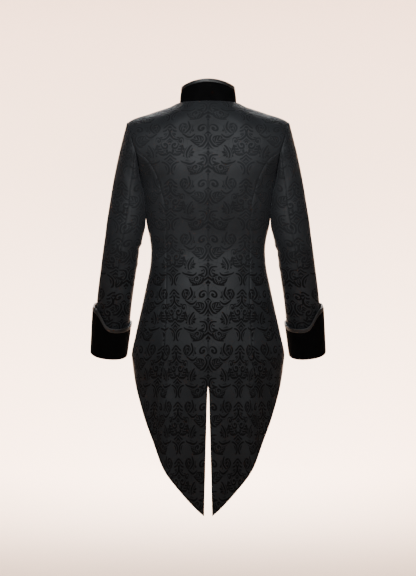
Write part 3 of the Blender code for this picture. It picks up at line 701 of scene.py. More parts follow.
def edge_relief(points, edges):
    """How far the cloth stands out near its seams and hems."""
    relief = np.zeros(points.shape[:2])
    for side, (away, along) in edge_distances(points).items():
        kind = edges.get(side)
        if kind == "seam":
            uneven = sum(size * np.sin(along * rate) for size, rate in UNEVEN)
            pucker = np.sin(2 * np.pi * along / PUCKER_PITCH + uneven)
            relief -= EDGE_DIP * bell(away, EDGE_DIP_WIDTH)
            relief += RIDGE_HEIGHT * bell(away - RIDGE_FROM_EDGE, RIDGE_WIDTH)
            relief += PUCKER_DEPTH * pucker * bell(away, PUCKER_REACH)
        if kind == "hem":
            relief -= HEM_DIP * bell(away, EDGE_DIP_WIDTH)
            relief += HEM_FOLD * (1 - ease((away - HEM_FOLD_AT) / HEM_FOLD_STEP))
    return relief


# the lines of a grid: the edge itself and the one inside it
EDGE_LINES = {
    "left": (np.s_[:, 0], np.s_[:, 1]), "right": (np.s_[:, -1], np.s_[:, -2]),
    "top": (np.s_[0], np.s_[1]), "bottom": (np.s_[-1], np.s_[-2]),
}


def sewn(points, edges):
    """The grid with its seam edges pushed a hair into the neighbour, so that no light gets through."""
    moved = points.copy()
    for side, kind in edges.items():
        if kind == "seam":
            edge, inside = EDGE_LINES[side]
            moved[edge] -= unit(points[inside] - points[edge]) * SEAM_LAP
    return moved


print("relief of a seam in mm:", -EDGE_DIP * 1000, "at the edge,", RIDGE_HEIGHT * 1000, "on the ridge")

# %% Creases
# start angle and height, end angle and height, depth, width: positive stands out
BODY_CREASES = [
    ((66, -0.205), (34, -0.150), 0.0016, 0.0090),
    ((70, -0.232), (44, -0.196), -0.0013, 0.0080),
    ((78, -0.262), (52, -0.238), 0.0011, 0.0075),
    ((82, -0.352), (40, -0.372), 0.0010, 0.0085),
    ((86, -0.392), (30, -0.398), -0.0013, 0.0070),
    ((80, -0.424), (46, -0.432), 0.0012, 0.0080),
    ((20, -0.360), (24, -0.455), 0.0010, 0.0090),
    ((9, -0.300), (12, -0.420), -0.0008, 0.0100),
    ((36, -0.700), (40, -0.900), 0.0014, 0.0120),
    ((24, -0.640), (22, -0.860), -0.0012, 0.0110),
    ((60, -0.560), (64, -0.760), 0.0015, 0.0130),
    ((96, -0.372), (150, -0.392), -0.0014, 0.0075),
    ((98, -0.410), (140, -0.405), 0.0013, 0.0080),
    ((118, -0.225), (148, -0.175), 0.0016, 0.0095),
    ((112, -0.250), (136, -0.212), -0.0013, 0.0080),
    ((160, -0.300), (158, -0.420), 0.0009, 0.0100),
    ((126, -0.470), (122, -0.610), 0.0014, 0.0130),
]
SLEEVE_CREASES = [
    ((62, -0.150), (98, -0.265), 0.0022, 0.0080),
    ((86, -0.165), (124, -0.258), -0.0020, 0.0070),
    ((300, -0.170), (262, -0.262), 0.0020, 0.0080),
    ((282, -0.190), (238, -0.272), -0.0020, 0.0075),
    ((40, -0.352), (112, -0.372), -0.0014, 0.0080),
    ((52, -0.392), (138, -0.410), 0.0017, 0.0085),
    ((118, -0.352), (236, -0.378), 0.0022, 0.0075),
    ((128, -0.386), (250, -0.398), -0.0026, 0.0070),
    ((112, -0.425), (232, -0.421), 0.0018, 0.0080),
    ((320, -0.370), (258, -0.384), -0.0015, 0.0080),
    ((20, -0.505), (88, -0.532), 0.0013, 0.0090),
    ((70, -0.545), (140, -0.530), -0.0013, 0.0080),
    ((330, -0.520), (262, -0.540), 0.0012, 0.0085),
]
CREASE_SAMPLES = 25
CREASE_SWAY = 0.006
CREASE_END = 0.02
CREASE_TAPER = 0.8
# how the mirrored side differs: share of the depth, shift round, shift down
OTHER_SIDE = (0.78, 3.0, 0.007)


def crease_relief(points, surface, creases, other_side):
    """How far the creases lift or sink the cloth, by distance from each stroke."""
    relief = np.zeros(points.shape[:2])
    share, turn, drop = OTHER_SIDE if other_side else (1.0, 0.0, 0.0)
    t = np.linspace(0, 1, CREASE_SAMPLES)
    for number, (start, end, depth, width) in enumerate(creases):
        sway = CREASE_SWAY * np.sin(np.pi * t) * (1 if number % 2 else -1)
        line = surface(mix(start[0], end[0], t) + turn, mix(start[1], end[1], t) + sway - drop)
        away = np.linalg.norm(points[:, :, None] - line, axis=3)
        nearest = away.argmin(axis=2)
        taper = np.sin(np.pi * np.clip(t, CREASE_END, 1 - CREASE_END))[nearest] ** CREASE_TAPER
        relief += share * depth * taper * bell(away.min(axis=2), width)
    return relief


print("creases:", len(BODY_CREASES), "on half of the body,", len(SLEEVE_CREASES), "on a sleeve")

# %% Walls
def add_mesh(name, vertices, faces, flat, materials, face_materials):
    """A named object from arrays, with its flat place in a UV map."""
    mesh = bpy.data.meshes.new(name)
    mesh.from_pydata(vertices, [], faces)
    layer = mesh.uv_layers.new(name="flat")
    corners = np.zeros(len(mesh.loops), dtype=np.int32)
    mesh.loops.foreach_get("vertex_index", corners)
    layer.data.foreach_set("uv", flat[corners].astype(np.float32).ravel())
    for one in materials:
        mesh.materials.append(one)
    mesh.polygons.foreach_set("material_index", np.array(face_materials, dtype=np.int32))
    mesh.shade_smooth()
    work = bmesh.new()
    work.from_mesh(mesh)
    bmesh.ops.recalc_face_normals(work, faces=work.faces)
    work.to_mesh(mesh)
    work.free()
    mesh.update()
    return add_object(name, mesh)


def wall(name, outer, inner, flat, materials, wrap=False):
    """A closed wall between two grids, with rims along the open edges."""
    rows, count = outer.shape[:2]
    index = np.arange(rows * count).reshape(rows, count)
    right = np.roll(index, -1, axis=1) if wrap else index[:, 1:]
    left = index if wrap else index[:, :-1]
    quads = np.stack([left[:-1], right[:-1], right[1:], left[1:]], axis=-1).reshape(-1, 4)
    far = rows * count
    ends = [(left[i], right[i]) for i in (0, rows - 1)]
    if not wrap:
        ends += [(index[:-1, j], index[1:, j]) for j in (0, count - 1)]
    rims = np.concatenate([np.stack([a, b, b + far, a + far], axis=-1) for a, b in ends])
    faces = np.concatenate([quads, rims, quads[:, ::-1] + far])
    kinds = [0] * (len(quads) + len(rims)) + [len(materials) - 1] * len(quads)
    vertices = np.concatenate([outer.reshape(-1, 3), inner.reshape(-1, 3)])
    places = np.concatenate([flat.reshape(-1, 2)] * 2)
    return add_mesh(name, vertices, faces.tolist(), places, materials, kinds)


def mirror(grid):
    return grid * np.array([-1.0, 1.0, 1.0])


# %% [markdown]
# ## Brocade
# The cloth is a black jacquard: a slightly glossy ground that carries a dull figure of feathers,
# leaves, fans, rolled edges and scrolls, mirrored about the middle of each panel and repeated down
# it. A picture could carry it, but a figure worked out from rules stays sharp at any size. So each
# element is a small node group that measures how far a point of the flat cloth lies inside one
# feather, leaf, fan, crescent or scroll, and the layout is a table of them. The figure drives the
# colour, the gloss and a slight relief.

# %% Drawing elements
TURN = 2 * math.pi
REPEAT_HEIGHT = 0.150
HALF_REPEAT = 0.104
FEATHER = 0.0010
MARGIN = 0.0013
TIP_FADE = 0.0032
OUTLINE = 0.0018
STROKE_FEATHER = 0.8
PLACE = ["X", "Y", "Below", "Centre X", "Centre Y", "Cosine", "Sine", "Size"]
MM, DEGREE = 0.001, math.pi / 180
# what each kind needs besides its place and its size, and in which unit the layout gives it
EXTRAS = {
    "leaf": {"Width": MM, "Bend": MM, "Pitch": MM},
    "feather": {"Width": MM, "Slope": 1, "Pitch": MM},
    "crescent": {"Band": MM, "Spread": DEGREE, "Pitch": MM},
    "fan": {"Step": DEGREE, "Leaves": 1, "Width": MM},
    "scroll": {"Hand": 1, "Turns": 1, "Width": MM},
}


def new_group(name, kind, inputs, output):
    """A node group, with its outer sockets given by name and kind, and their inner ends."""
    group = bpy.data.node_groups.new(name, kind + "NodeTree")
    for label, socket in inputs:
        group.interface.new_socket(label, in_out="INPUT", socket_type="NodeSocket" + socket)
    group.interface.new_socket(output[0], in_out="OUTPUT", socket_type="NodeSocket" + output[1])
    return group, group.nodes.new("NodeGroupInput").outputs, group.nodes.new("NodeGroupOutput").inputs


def soft(distance, feather=FEATHER):
    """1 well inside, 0 outside, with a soft edge."""
    return distance.scaled(1 / feather, 0.5).held()


def wave(position, pitch, kind="SINE"):
    return (position / pitch * TURN).do(kind)


def turned(along, across):
    """The distance from the element's centre, and the direction there."""
    return along.scaled(along, across * across).do("SQRT"), across.do("ARCTAN2", along)


def bulge(share, power):
    """A half wave from root to tip, with its peak moved by the power."""
    return (share ** power * math.pi).do("SINE")


class Sketch:
    """The node group of one kind of element."""

    def __init__(self, name):
        sockets = [(label, "Float") for label in (*PLACE, *EXTRAS[name])]
        self.group, self.source, self.sink = new_group(name, "Shader", sockets, ("Figure", "Float"))

    def __getitem__(self, label):
        return Number(self.group, self.source[label])

    def local(self):
        """The point in the element's own axes, along it and across it."""
        dx = self["X"] - self["Centre X"]
        dy = (self["Y"] - self["Centre Y"]).do("WRAP", REPEAT_HEIGHT / 2, -REPEAT_HEIGHT / 2)
        return (dx.scaled(self["Cosine"], dy * self["Sine"]),
                dy * self["Cosine"] - dx * self["Sine"])

    def finish(self, value, inside):
        """Clear what lies below the element and a margin round it, and draw the element there."""
        below = self["Below"] * (1.0 - soft(inside + MARGIN))
        self.group.links.new(value.do("MAXIMUM", below).socket, self.sink["Figure"])
        return self.group

    def finish_pointed(self, value, inside, body):
        """The same, with the margin drawn in where the element runs out."""
        return self.finish(value, (body - 1.0).scaled(TIP_FADE, inside))


def leaf_group():
    """A bent pointed leaf: curved strokes on both sides of its rib, and an outline."""
    s = Sketch("leaf")
    along, across = s.local()
    share = (along / s["Size"]).held()
    across = abs(across - share * share * s["Bend"])
    body = bulge(share, 0.72)
    inside = body * s["Width"] - across
    outline = soft(OUTLINE - abs(inside - OUTLINE)) * soft(body - 0.10, 0.10)
    slant = along - across * 0.9 - across * across / s["Width"] * 0.5
    strokes = soft(wave(slant, s["Pitch"]) + 0.35, STROKE_FEATHER)
    strokes = strokes * soft(inside - 2 * OUTLINE) * soft(across - 0.0008)
    return s.finish_pointed(outline.do("MAXIMUM", strokes), inside, body)


def feather_group():
    """Bold barbs that curve away from a middle line, the longest in the middle of the row."""
    s = Sketch("feather")
    along, across = s.local()
    across = abs(across)
    body = bulge((along / s["Size"]).held(), 0.62).do("MAXIMUM", 0.0) ** 0.8
    inside = body * s["Width"] - across
    part = across / s["Width"]
    lean = across * s["Slope"] * part.scaled(-0.45, 1.0)
    strokes = soft(wave(along + lean, s["Pitch"]) + part.scaled(-0.7, 0.45), STROKE_FEATHER)
    return s.finish_pointed(strokes * soft(inside), inside, body)


def crescent_group():
    """Nested arcs that thin towards their ends, like the rolled edge of a leaf."""
    s = Sketch("crescent")
    radius, angle = turned(*s.local())
    ends = (abs(angle) / s["Spread"]).held()
    ends = ends * ends
    off = radius - s["Size"]
    strokes = soft(wave(off, s["Pitch"], "COSINE") + ends.scaled(-1.2, 0.45), STROKE_FEATHER)
    band = s["Band"] * ends.scaled(-1.3, 1.0) - abs(off)
    return s.finish(strokes * soft(band), band)


def fan_group():
    """Slim leaves that spread from one point: a palmette, or a flower where they go all round."""
    s = Sketch("fan")
    radius, angle = turned(*s.local())
    number = (angle / s["Step"]).do("ROUND").do("MINIMUM", s["Leaves"]).do("MAXIMUM", s["Leaves"] * -1.0)
    away = angle - number * s["Step"]
    length = s["Size"] * (number * 0.24).do("COSINE")
    ahead, aside = radius * away.do("COSINE"), abs(radius * away.do("SINE"))
    body = bulge((ahead / length).held(), 1.3)
    inside = body * s["Width"] - aside
    room = ahead * s["Step"] * 0.5 - aside
    leaves = soft(inside.do("MINIMUM", room - 0.0006)) * soft(ahead - 0.001)
    return s.finish_pointed(leaves, inside, body)


def scroll_group():
    """A volute that winds into its middle and grows thinner."""
    s = Sketch("scroll")
    along, across = s.local()
    radius, angle = turned(along, across * s["Hand"])
    share = radius / s["Size"]
    phase = share * s["Turns"] - angle * (1 / TURN)
    away = abs(phase.do("FRACT") - 0.5) * s["Size"] / s["Turns"]
    inside = s["Size"] - radius
    line = soft(s["Width"] * share.scaled(0.5, 0.6) - away) * soft(inside)
    eye = soft(s["Size"] * 0.20 - radius)
    return s.finish(line.do("MAXIMUM", eye), inside)


ELEMENTS = {
    "leaf": leaf_group(), "feather": feather_group(), "crescent": crescent_group(),
    "fan": fan_group(), "scroll": scroll_group(),
}
print("elements:", {name: len(group.nodes) for name, group in ELEMENTS.items()})

# %% The layout of one half of the repeat
# kind, x, y in mm, direction in degrees, size in mm, then what the kind needs:
# leaf: width mm, bend mm, pitch mm; feather: width mm, slope, pitch mm;
# crescent: band mm, spread degrees, pitch mm; fan: step degrees, leaves each side, width mm;
# scroll: hand, turns, half width mm. A later row lies on the earlier ones.
LAYOUT = [
    ("feather", 0, 70, 270, 66, 22, -0.95, 9.6), ("feather", 0, 74, 90, 50, 19, 0.95, 9.2),
    ("feather", 104, 146, 270, 60, 20, -0.95, 9.4), ("feather", 104, 18, 90, 54, 19, 0.95, 9.2),
    ("leaf", 10, 30, -20, 46, 14, -10, 9.0), ("leaf", 10, 84, 44, 50, 15, -12, 9.0),
    ("leaf", 96, 104, 218, 50, 15, 12, 9.0), ("leaf", 96, 60, 140, 46, 14, -10, 8.8),
    ("leaf", 36, 8, 70, 44, 13, -9, 8.6), ("leaf", 70, 148, 246, 42, 13, 9, 8.6),
    ("fan", 54, 60, 90, 22, 36, 4, 4.0), ("fan", 52, 128, 90, 17, 51.4, 3, 3.8),
    ("crescent", 22, 42, 150, 18, 9, 88, 8.6), ("crescent", 84, 118, -30, 18, 9, 88, 8.6),
    ("crescent", 26, 100, 205, 20, 10, 80, 8.8), ("crescent", 80, 20, 25, 20, 10, 80, 8.8),
    ("crescent", 30, 60, 18, 27, 8, 52, 8.4), ("crescent", 76, 140, 198, 27, 8, 52, 8.4),
    ("crescent", 54, 60, 270, 25, 7, 60, 8.0), ("crescent", 52, 128, 270, 21, 6, 70, 7.6),
    ("scroll", 15, 132, 240, 13, 1, 1.15, 3.2), ("scroll", 90, 84, 60, 12, -1, 1.15, 3.0),
    ("scroll", 34, 24, 120, 9, -1, 1.0, 2.6), ("scroll", 72, 96, 300, 9, 1, 1.0, 2.6),
]
# waves that keep the figure from looking ruled: what moves, how far, wavelength up and across
SWAY = [
    ("X", 0.0011, 0.0500, 0.071), ("X", 0.0006, 0.0300, -0.043),
    ("Y", 0.0011, 0.0750, 0.052), ("Y", 0.0006, 0.0375, 0.033),
]


def damask_group():
    """The whole figure: the flat cloth folded into half a repeat, and every element drawn on it."""
    group, source, sink = new_group("damask", "Shader", [("Flat", "Vector")], ("Figure", "Float"))
    flat = node(group, "ShaderNodeSeparateXYZ", {0: source["Flat"]}).outputs
    x, y = Number(group, flat["X"]).do("PINGPONG", HALF_REPEAT), Number(group, flat["Y"])
    moved = {"X": x, "Y": y}
    for axis, reach, up, across in SWAY:
        sway = y.scaled(TURN / up, x * (TURN / across)).do("SINE")
        moved[axis] = sway.scaled(reach, moved[axis])
    figure = 0.0
    for kind, centre_x, centre_y, direction, size, *rest in LAYOUT:
        inputs = {
            **moved, "Below": figure, "Centre X": centre_x * MM, "Centre Y": centre_y * MM,
            "Cosine": math.cos(direction * DEGREE), "Sine": math.sin(direction * DEGREE), "Size": size * MM,
        }
        for (label, unit), value in zip(EXTRAS[kind].items(), rest):
            inputs[label] = value * unit
        figure = node(group, "ShaderNodeGroup", inputs, node_tree=ELEMENTS[kind]).outputs["Figure"]
    group.links.new(figure, sink["Figure"])
    return group


DAMASK = damask_group()
print("elements in the layout:", len(LAYOUT))

# %% The brocade's material
GROUND = (0.0104, 0.0114, 0.0128)
FIGURE = (0.0008, 0.0008, 0.0010, 1.0)
# height above the tips of the tails, strength of the figure there; the fainter figure up the back is
# painted light, for the light the raised figure catches there
FIGURE_FADE_PAINTED_LIGHT = [(0.30, 1.0), (0.62, 1.0), (0.70, 0.40), (0.95, 0.34)]
FIGURE_FADE_PAINTED_LIGHT_FROM = 1.1
TWILL_PITCH = 0.0007
SLEEVE_SHIFT = (0.030, 0.055, 0.0)
# a band texture of scale 1 repeats after this length
BAND_LENGTH = 0.314


def noise(tree, vector, scale, detail=2.0):
    """A cloudy value between 0 and 1."""
    made = node(tree, "ShaderNodeTexNoise", {"Vector": vector, "Scale": scale, "Detail": detail})
    return Number(tree, made.outputs["Fac"])


def weave(tree, vector, pitch, distortion):
    """Fine slanting ribs."""
    made = node(tree, "ShaderNodeTexWave", {
        "Vector": vector, "Scale": BAND_LENGTH / pitch, "Distortion": distortion,
    }, wave_type="BANDS", bands_direction="DIAGONAL")
    return Number(tree, made.outputs["Fac"])


def emboss(tree, shader, height, strength, distance):
    """A relief too fine to be modelled."""
    made = node(tree, "ShaderNodeBump", {"Height": height, "Strength": strength, "Distance": distance})
    feed(tree, shader, {"Normal": made.outputs["Normal"]})


def brocade_material(name, offset):
    """A glossy ground with a dull figure that is painted fainter up the back as painted light, a fine twill
    and a slightly uneven tone.
    """
    made, tree, shader = new_material(name)
    flat = node(tree, "ShaderNodeUVMap", {}, uv_map="flat").outputs["UV"]
    flat = node(tree, "ShaderNodeMapping", {"Vector": flat, "Location": offset}).outputs["Vector"]
    figure = Number(tree, node(tree, "ShaderNodeGroup", {"Flat": flat}, node_tree=DAMASK).outputs["Figure"])
    place = object_place(tree)
    tone = ramp(tree, noise(tree, place, 16.0, 3.0), (0.30, 0.72), (0.72, 1.2), colour=GROUND)
    # painted light: the figure weakens with height, so the upper back reads lighter, as if light caught the
    # figure there
    height = Number(tree, node(tree, "ShaderNodeSeparateXYZ", {0: place}).outputs["Z"])
    strength = ramp(tree, height + FIGURE_FADE_PAINTED_LIGHT_FROM, *FIGURE_FADE_PAINTED_LIGHT)
    colour = node(tree, "ShaderNodeMix", {
        "Factor": figure * Number(tree, strength), "A": tone, "B": FIGURE}, data_type="RGBA")
    feed(tree, shader, {
        "Base Color": colour.outputs["Result"], "Roughness": figure.scaled(0.30, 0.61),
        "Specular IOR Level": 0.14, "Sheen Weight": 0.02, "Sheen Roughness": 0.45,
        "Sheen Tint": (0.85, 0.90, 1.0, 1.0)})
    emboss(tree, shader, weave(tree, flat, TWILL_PITCH, 0.6).scaled(0.10, figure), 0.55, 0.0006)
    return made


brocade = brocade_material("brocade", (0.0, 0.0, 0.0))
sleeve_brocade = brocade_material("sleeve brocade", SLEEVE_SHIFT)
print("brocade nodes:", len(brocade.node_tree.nodes))

# %% The wrong side, velvet, satin, button and thread
def woven_material(name, colour, pitch, relief, roughness, gloss):
    """A plain colour with a fine even weave."""
    made, tree, shader = new_material(name)
    flat = node(tree, "ShaderNodeUVMap", {}, uv_map="flat").outputs["UV"]
    feed(tree, shader, {
        "Base Color": ramp(tree, noise(tree, flat, 60.0), (0.3, 0.75), (0.7, 1.2), colour=colour),
        "Roughness": roughness, "Specular IOR Level": gloss})
    emboss(tree, shader, weave(tree, flat, pitch, 1.0), relief, 0.0003)
    return made


def velvet_material():
    """Deep pile: almost black when seen straight on, with a faint bloom where it turns away."""
    made, tree, shader = new_material("velvet")
    place = object_place(tree)
    pile, crush = noise(tree, place, 900.0), noise(tree, place, 38.0, 3.0)
    feed(tree, shader, {
        "Base Color": ramp(tree, crush, (0.35, (0.0002, 0.0002, 0.0003)), (0.70, (0.0008, 0.0008, 0.0009))),
        "Roughness": 0.95, "Specular IOR Level": 0.06, "Sheen Weight": 0.006, "Sheen Roughness": 0.30})
    emboss(tree, shader, crush.scaled(0.8, pile * 0.5), 0.6, 0.0008)
    return made


def button_material():
    """Plain black plastic, slightly scuffed."""
    made, tree, shader = new_material("black button")
    scuff = noise(tree, object_place(tree), 420.0, 4.0)
    feed(tree, shader, {
        "Base Color": ramp(tree, scuff, (0.3, 0.006), (0.8, 0.016)), "Roughness": scuff.scaled(0.16, 0.34)})
    return made


wrong_side = woven_material("wrong side of the cloth", (0.0060, 0.0062, 0.0068), 0.0009, 0.4, 0.80, 0.12)
velvet = velvet_material()
satin = woven_material("satin edging", (0.0026, 0.0026, 0.0028), 0.0006, 0.35, 0.50, 0.5)
thread = woven_material("black thread", (0.010, 0.010, 0.011), 0.0006, 0.35, 0.50, 0.5)
button_black = button_material()
print("materials:", len(bpy.data.materials))

# %% [markdown]
# ## The body
# A back, a side back and a front make half of the body, and their mirror images the other half. The
# left front lies over the right one, so it lifts outward near the middle. The two sides get slightly
# different creases, because no worn coat is the same left and right.

# %% Flat places of the panels
# below this height the figure keeps level from panel to panel; above it, it follows each column
FLAT_BELOW = -0.1
CENTRE_BACK_SAMPLES = 400


def centre_back_length():
    """The length down the centre back, by height."""
    heights = np.linspace(BODY[0][0], BODY[-1][0], CENTRE_BACK_SAMPLES)
    line = body_point(np.zeros_like(heights), heights)
    lengths = np.concatenate([[0.0], np.cumsum(np.linalg.norm(np.diff(line, axis=0), axis=1))])
    return lambda z: -np.interp(-z, -heights, lengths)


flat_height = centre_back_length()


def flat_places(points, across_from):
    """The place of each point on the flat cloth: across from a line, and up."""
    across = run_lengths(points, 1)
    if across_from == "centre back":
        across = across + points[:, :1, 0]
    elif across_from == "centre front":
        across = across[:, -1:] - across - FRONT_LAP
    else:
        across = across - across[:, -1:] / 2
    down = run_lengths(points, 0)
    up = flat_height(points[..., 2])
    for j in range(points.shape[1]):
        at_line = np.interp(-FLAT_BELOW, -points[:, j, 2], down[:, j])
        above = points[:, j, 2] > FLAT_BELOW
        up[above, j] = flat_height(FLAT_BELOW) + at_line - down[above, j]
    return np.stack([across, up], axis=-1)


def cut_of(points, wrap=False):
    """The width, the length and the area of the flat cloth that a grid shows."""
    if wrap:
        points = np.concatenate([points, points[:, :1]], axis=1)
    one, other = points[1:, 1:] - points[:-1, :-1], points[1:, :-1] - points[:-1, 1:]
    area = np.linalg.norm(np.cross(one, other), axis=2).sum() / 2
    return float(run_lengths(points, 1).max()), float(run_lengths(points, 0).max()), float(area)


# %% Body panels
# the shown cloth is a little thinner than its solid, so that creases have room
WALL = 0.0020
LAP_RAMP = 0.0138
# width, length and area of the flat cloth of each sheet, by the sheet's name
CUTS = {}


def both_sides(name, base, edges, flat, relief_of, material, flip):
    """A cut piece of cloth on both sides, as closed walls. Each side has its own relief."""
    made = []
    for side in ("left", "right"):
        relief = edge_relief(base, edges) + relief_of(side)
        outer = sewn(base, edges) + directions(base, flip) * relief[..., None]
        inner = outer - directions(outer, flip) * WALL
        if side == "right":
            outer, inner = mirror(outer), mirror(inner)
        made.append(wall(f"{name}_{side}", outer, inner, flat, [material, wrong_side]))
        CUTS[made[-1].name] = cut_of(base)
    return made


def body_panel(name, angles, heights, edges, across_from, lapped):
    """A panel of the body on both sides, as closed walls of cloth."""
    base = body_point(angles, heights)
    flat = flat_places(base, across_from)

    def relief_of(side):
        relief = crease_relief(base, body_point, BODY_CREASES, side == "right")
        if lapped and side == "left":
            relief += (CLOTH + LAP_GAP) * ease((LAP_FULL_FROM + LAP_RAMP - base[..., 0]) / LAP_RAMP)
        return relief

    return both_sides(name, base, edges, flat, relief_of, brocade, False)


BACK_EDGES = {"left": "seam", "right": "seam", "top": "seam", "bottom": "hem"}
FRONT_EDGES = {"left": "seam", "right": "hem", "top": "seam", "bottom": "hem"}
backs = body_panel("cloth_back", *back_places(), BACK_EDGES, "centre back", False)
side_backs = body_panel("cloth_side_back", *side_back_places(), BACK_EDGES, "own middle", False)
fronts = body_panel("cloth_front", *front_places(), FRONT_EDGES, "centre front", True)
print("panels:", [(one.name, len(one.data.polygons)) for one in backs + side_backs + fronts])

# %% [markdown]
# ## The sleeves
# A coat sleeve has two pieces, an upper one round the outside and a narrow under one. Its head
# starts on the armhole's edge and flows into the arm, and the arm bends forward at the elbow. The
# grid runs down the arm in rows and round it in columns, and is cut in two along the hind seam
# and the fore seam.

# %% The arm
CAP_END_DROP = 0.260
CAP_ROWS = 6
SLEEVE_CLEARANCE = 0.0026
CLEARANCE_SOFTNESS = 0.002
SLEEVE_CORNER = 2.2
AXIS_STEP = 0.02
AXIS_BLEND = 0.11
HEAD_AXIS = np.array([0.14, 0, -0.99])
HEAD_STAND_OFF = 0.0001
# how the head leaves the armhole: outward, how much more at its top, and to the front and back
HEAD_WAY = (0.16, 0.12, 0.22)
UNDERARM_BLEND = 22.5
CUFF_BOTTOM_DROP = 0.6795
# height, outer side, inner side, middle from front to back, half depth
SLEEVE = [
    (-0.230, 0.2585, 0.160, 0.002, 0.0690), (-0.260, 0.2628, 0.158, 0.004, 0.0660),
    (-0.300, 0.2690, 0.162, 0.008, 0.0620), (-0.335, 0.2745, 0.170, 0.010, 0.0590),
    (-0.367, 0.2784, 0.1785, 0.009, 0.0565), (-0.400, 0.2832, 0.1858, 0.005, 0.0545),
    (-0.464, 0.2921, 0.1958, -0.009, 0.0510), (-0.529, 0.3008, 0.2055, -0.027, 0.0485),
    (-0.594, 0.3062, 0.2130, -0.047, 0.0465), (-0.640, 0.3092, 0.2195, -0.062, 0.0455),
    (-0.720, 0.3142, 0.2312, -0.088, 0.0445),
]
SLEEVE_ROWS = [0.260, 0.290, 0.320, 0.350, 0.385, 0.420, 0.460, 0.500, 0.540, 0.580, 0.620, 0.650]
arm_outer, arm_inner, arm_y, arm_half_depth = columns(SLEEVE)


def arm_middle(z):
    return np.stack([(arm_outer(z) + arm_inner(z)) / 2, arm_y(z), z], axis=-1)


def arm_point(angle, z, stand_off=0.0):
    """A point round the sleeve: 0 is its outer side, 90 its back, 180 its inner side."""
    angle, z = np.broadcast_arrays(np.asarray(angle, float), np.asarray(z, float))
    axis = unit(arm_middle(z - AXIS_STEP) - arm_middle(z + AXIS_STEP))
    axis = unit(mix(HEAD_AXIS, axis, ease((-z - CAP_END_DROP) / AXIS_BLEND)[..., None]))
    outward = unit(np.array([1.0, 0, 0]) - axis * axis[..., :1])
    backward = np.cross(outward, axis)
    backward = backward * np.sign(backward[..., 1:2])
    sine, cosine = np.sin(np.radians(angle)), np.cos(np.radians(angle))
    wide = (arm_outer(z) - arm_inner(z)) / 2 + stand_off
    deep = arm_half_depth(z) + stand_off
    power = 2 / SLEEVE_CORNER
    return (arm_middle(z) + outward * (wide * signed_power(cosine, power))[..., None]
            + backward * (deep * signed_power(sine, power))[..., None])


def beside_body(points, clearance):
    """The points, moved out where they would come nearer to the body than the clearance."""
    x, y, z = points[..., 0], points[..., 1], points[..., 2]
    corner = np.where(y > 0, BACK_CORNER, FRONT_CORNER)
    depth = np.where(y > 0, back_depth(z), front_depth(z))
    share = np.minimum(np.abs(y) / depth, 1.0)
    limit = half_width(z) * (1 - share ** corner) ** (1 / corner) + clearance
    gap = x - limit
    out = limit + (gap + np.sqrt(gap * gap + CLEARANCE_SOFTNESS ** 2)) / 2
    return np.stack([out, y, z], axis=-1)


def sleeve_head(angle):
    """The sleeve's top edge, just outside the armhole's edge, and its way down."""
    turn = np.radians(angle)
    z = -armhole_drop(angle)
    edge = body_point(angle_at(armhole_x(z), z, front=angle % 360 > 180), z)
    edge[..., 0] += SEAM_GAP + HEAD_STAND_OFF + CLOTH * np.maximum(np.cos(turn), 0.0)
    out, more, aside = HEAD_WAY
    way = np.stack([out + more * np.cos(turn), aside * np.sin(turn), -np.ones_like(turn)], axis=-1)
    return edge, unit(way)


def sleeve_points(angles):
    """Rows of points from the armhole down to the cuff, one column for each armhole angle."""
    rows = []
    start, way = sleeve_head(angles)
    stop = arm_point(angles, -CAP_END_DROP)
    way_out = unit(arm_point(angles, -CAP_END_DROP - 0.01) - stop)
    length = np.linalg.norm(stop - start, axis=-1, keepdims=True)
    inward = np.clip(np.minimum(angles - 90.0, 270.0 - angles) / UNDERARM_BLEND, 0.0, 1.0)
    for t in refine(np.linspace(0, 1, CAP_ROWS + 1), 5, True, False)[:-1]:
        line = (start * (1 + 2 * t) * (1 - t) ** 2 + way * (length * t * (1 - t) ** 2)
                + stop * (t * t * (3 - 2 * t)) + way_out * (length * t * t * (t - 1)))
        moved = beside_body(line, mix(SEAM_GAP, SLEEVE_CLEARANCE, ease(t * 2)))
        share = np.maximum(inward * min(t * CAP_ROWS, 1.0), ease(t * CAP_ROWS - CAP_ROWS + 1))
        rows.append(mix(line, moved, share[:, None]))
    for drop in refine(SLEEVE_ROWS + [CUFF_BOTTOM_DROP - VELVET - SEAM_GAP], 5, False, False):
        rows.append(beside_body(arm_point(angles, -drop), SLEEVE_CLEARANCE))
    return np.array(rows)


# %% Sleeve pieces
UNDER_ANGLES = [90.0, 112.5, 135.0, 157.5, 180.0, 202.5, 225.0]
UPPER_ANGLES = [225.0, 247.5, 270.0, 288.0, 305.0, 322.0, 338.0, 350.0, 360.0,
                370.0, 382.0, 398.0, 415.0, 432.0, 450.0]
SLEEVE_EDGES = {"left": "seam", "right": "seam", "top": "seam"}
SLEEVE_FLAT_TOP = -0.25
SLEEVE_CREASES_FROM = 0.10
SLEEVE_CREASES_FADE = 0.06


def sleeve_piece(name, angles, middle_angle):
    """An upper or an under sleeve on both sides."""
    angles = refine(angles, 4)
    base = sleeve_points(angles)
    across, down = run_lengths(base, 1), run_lengths(base, 0)
    middle = np.array([np.interp(middle_angle, angles, line) for line in across])
    flat = np.stack([across - middle[:, None], SLEEVE_FLAT_TOP + down[-1:] - down], axis=-1)
    fade = ease((-SLEEVE_CREASES_FROM - base[..., 2]) / SLEEVE_CREASES_FADE)

    def relief_of(side):
        return fade * crease_relief(base, arm_point, SLEEVE_CREASES, side == "right")

    return both_sides(name, base, SLEEVE_EDGES, flat, relief_of, sleeve_brocade, True)


upper_sleeves = sleeve_piece("cloth_upper_sleeve", UPPER_ANGLES, 360.0)
under_sleeves = sleeve_piece("cloth_under_sleeve", UNDER_ANGLES, 157.5)
print("sleeves:", [(one.name, len(one.data.polygons)) for one in upper_sleeves + under_sleeves])

# %% [markdown]
# ## Cuffs, collar and their edging
# The cuffs are turned back: a tube of velvet that stands off the sleeve, folds round under its end
# and rises to a wing on the outer side. Cuff and collar both carry a folded strip of satin along
# the top, which takes the same edge on both faces.

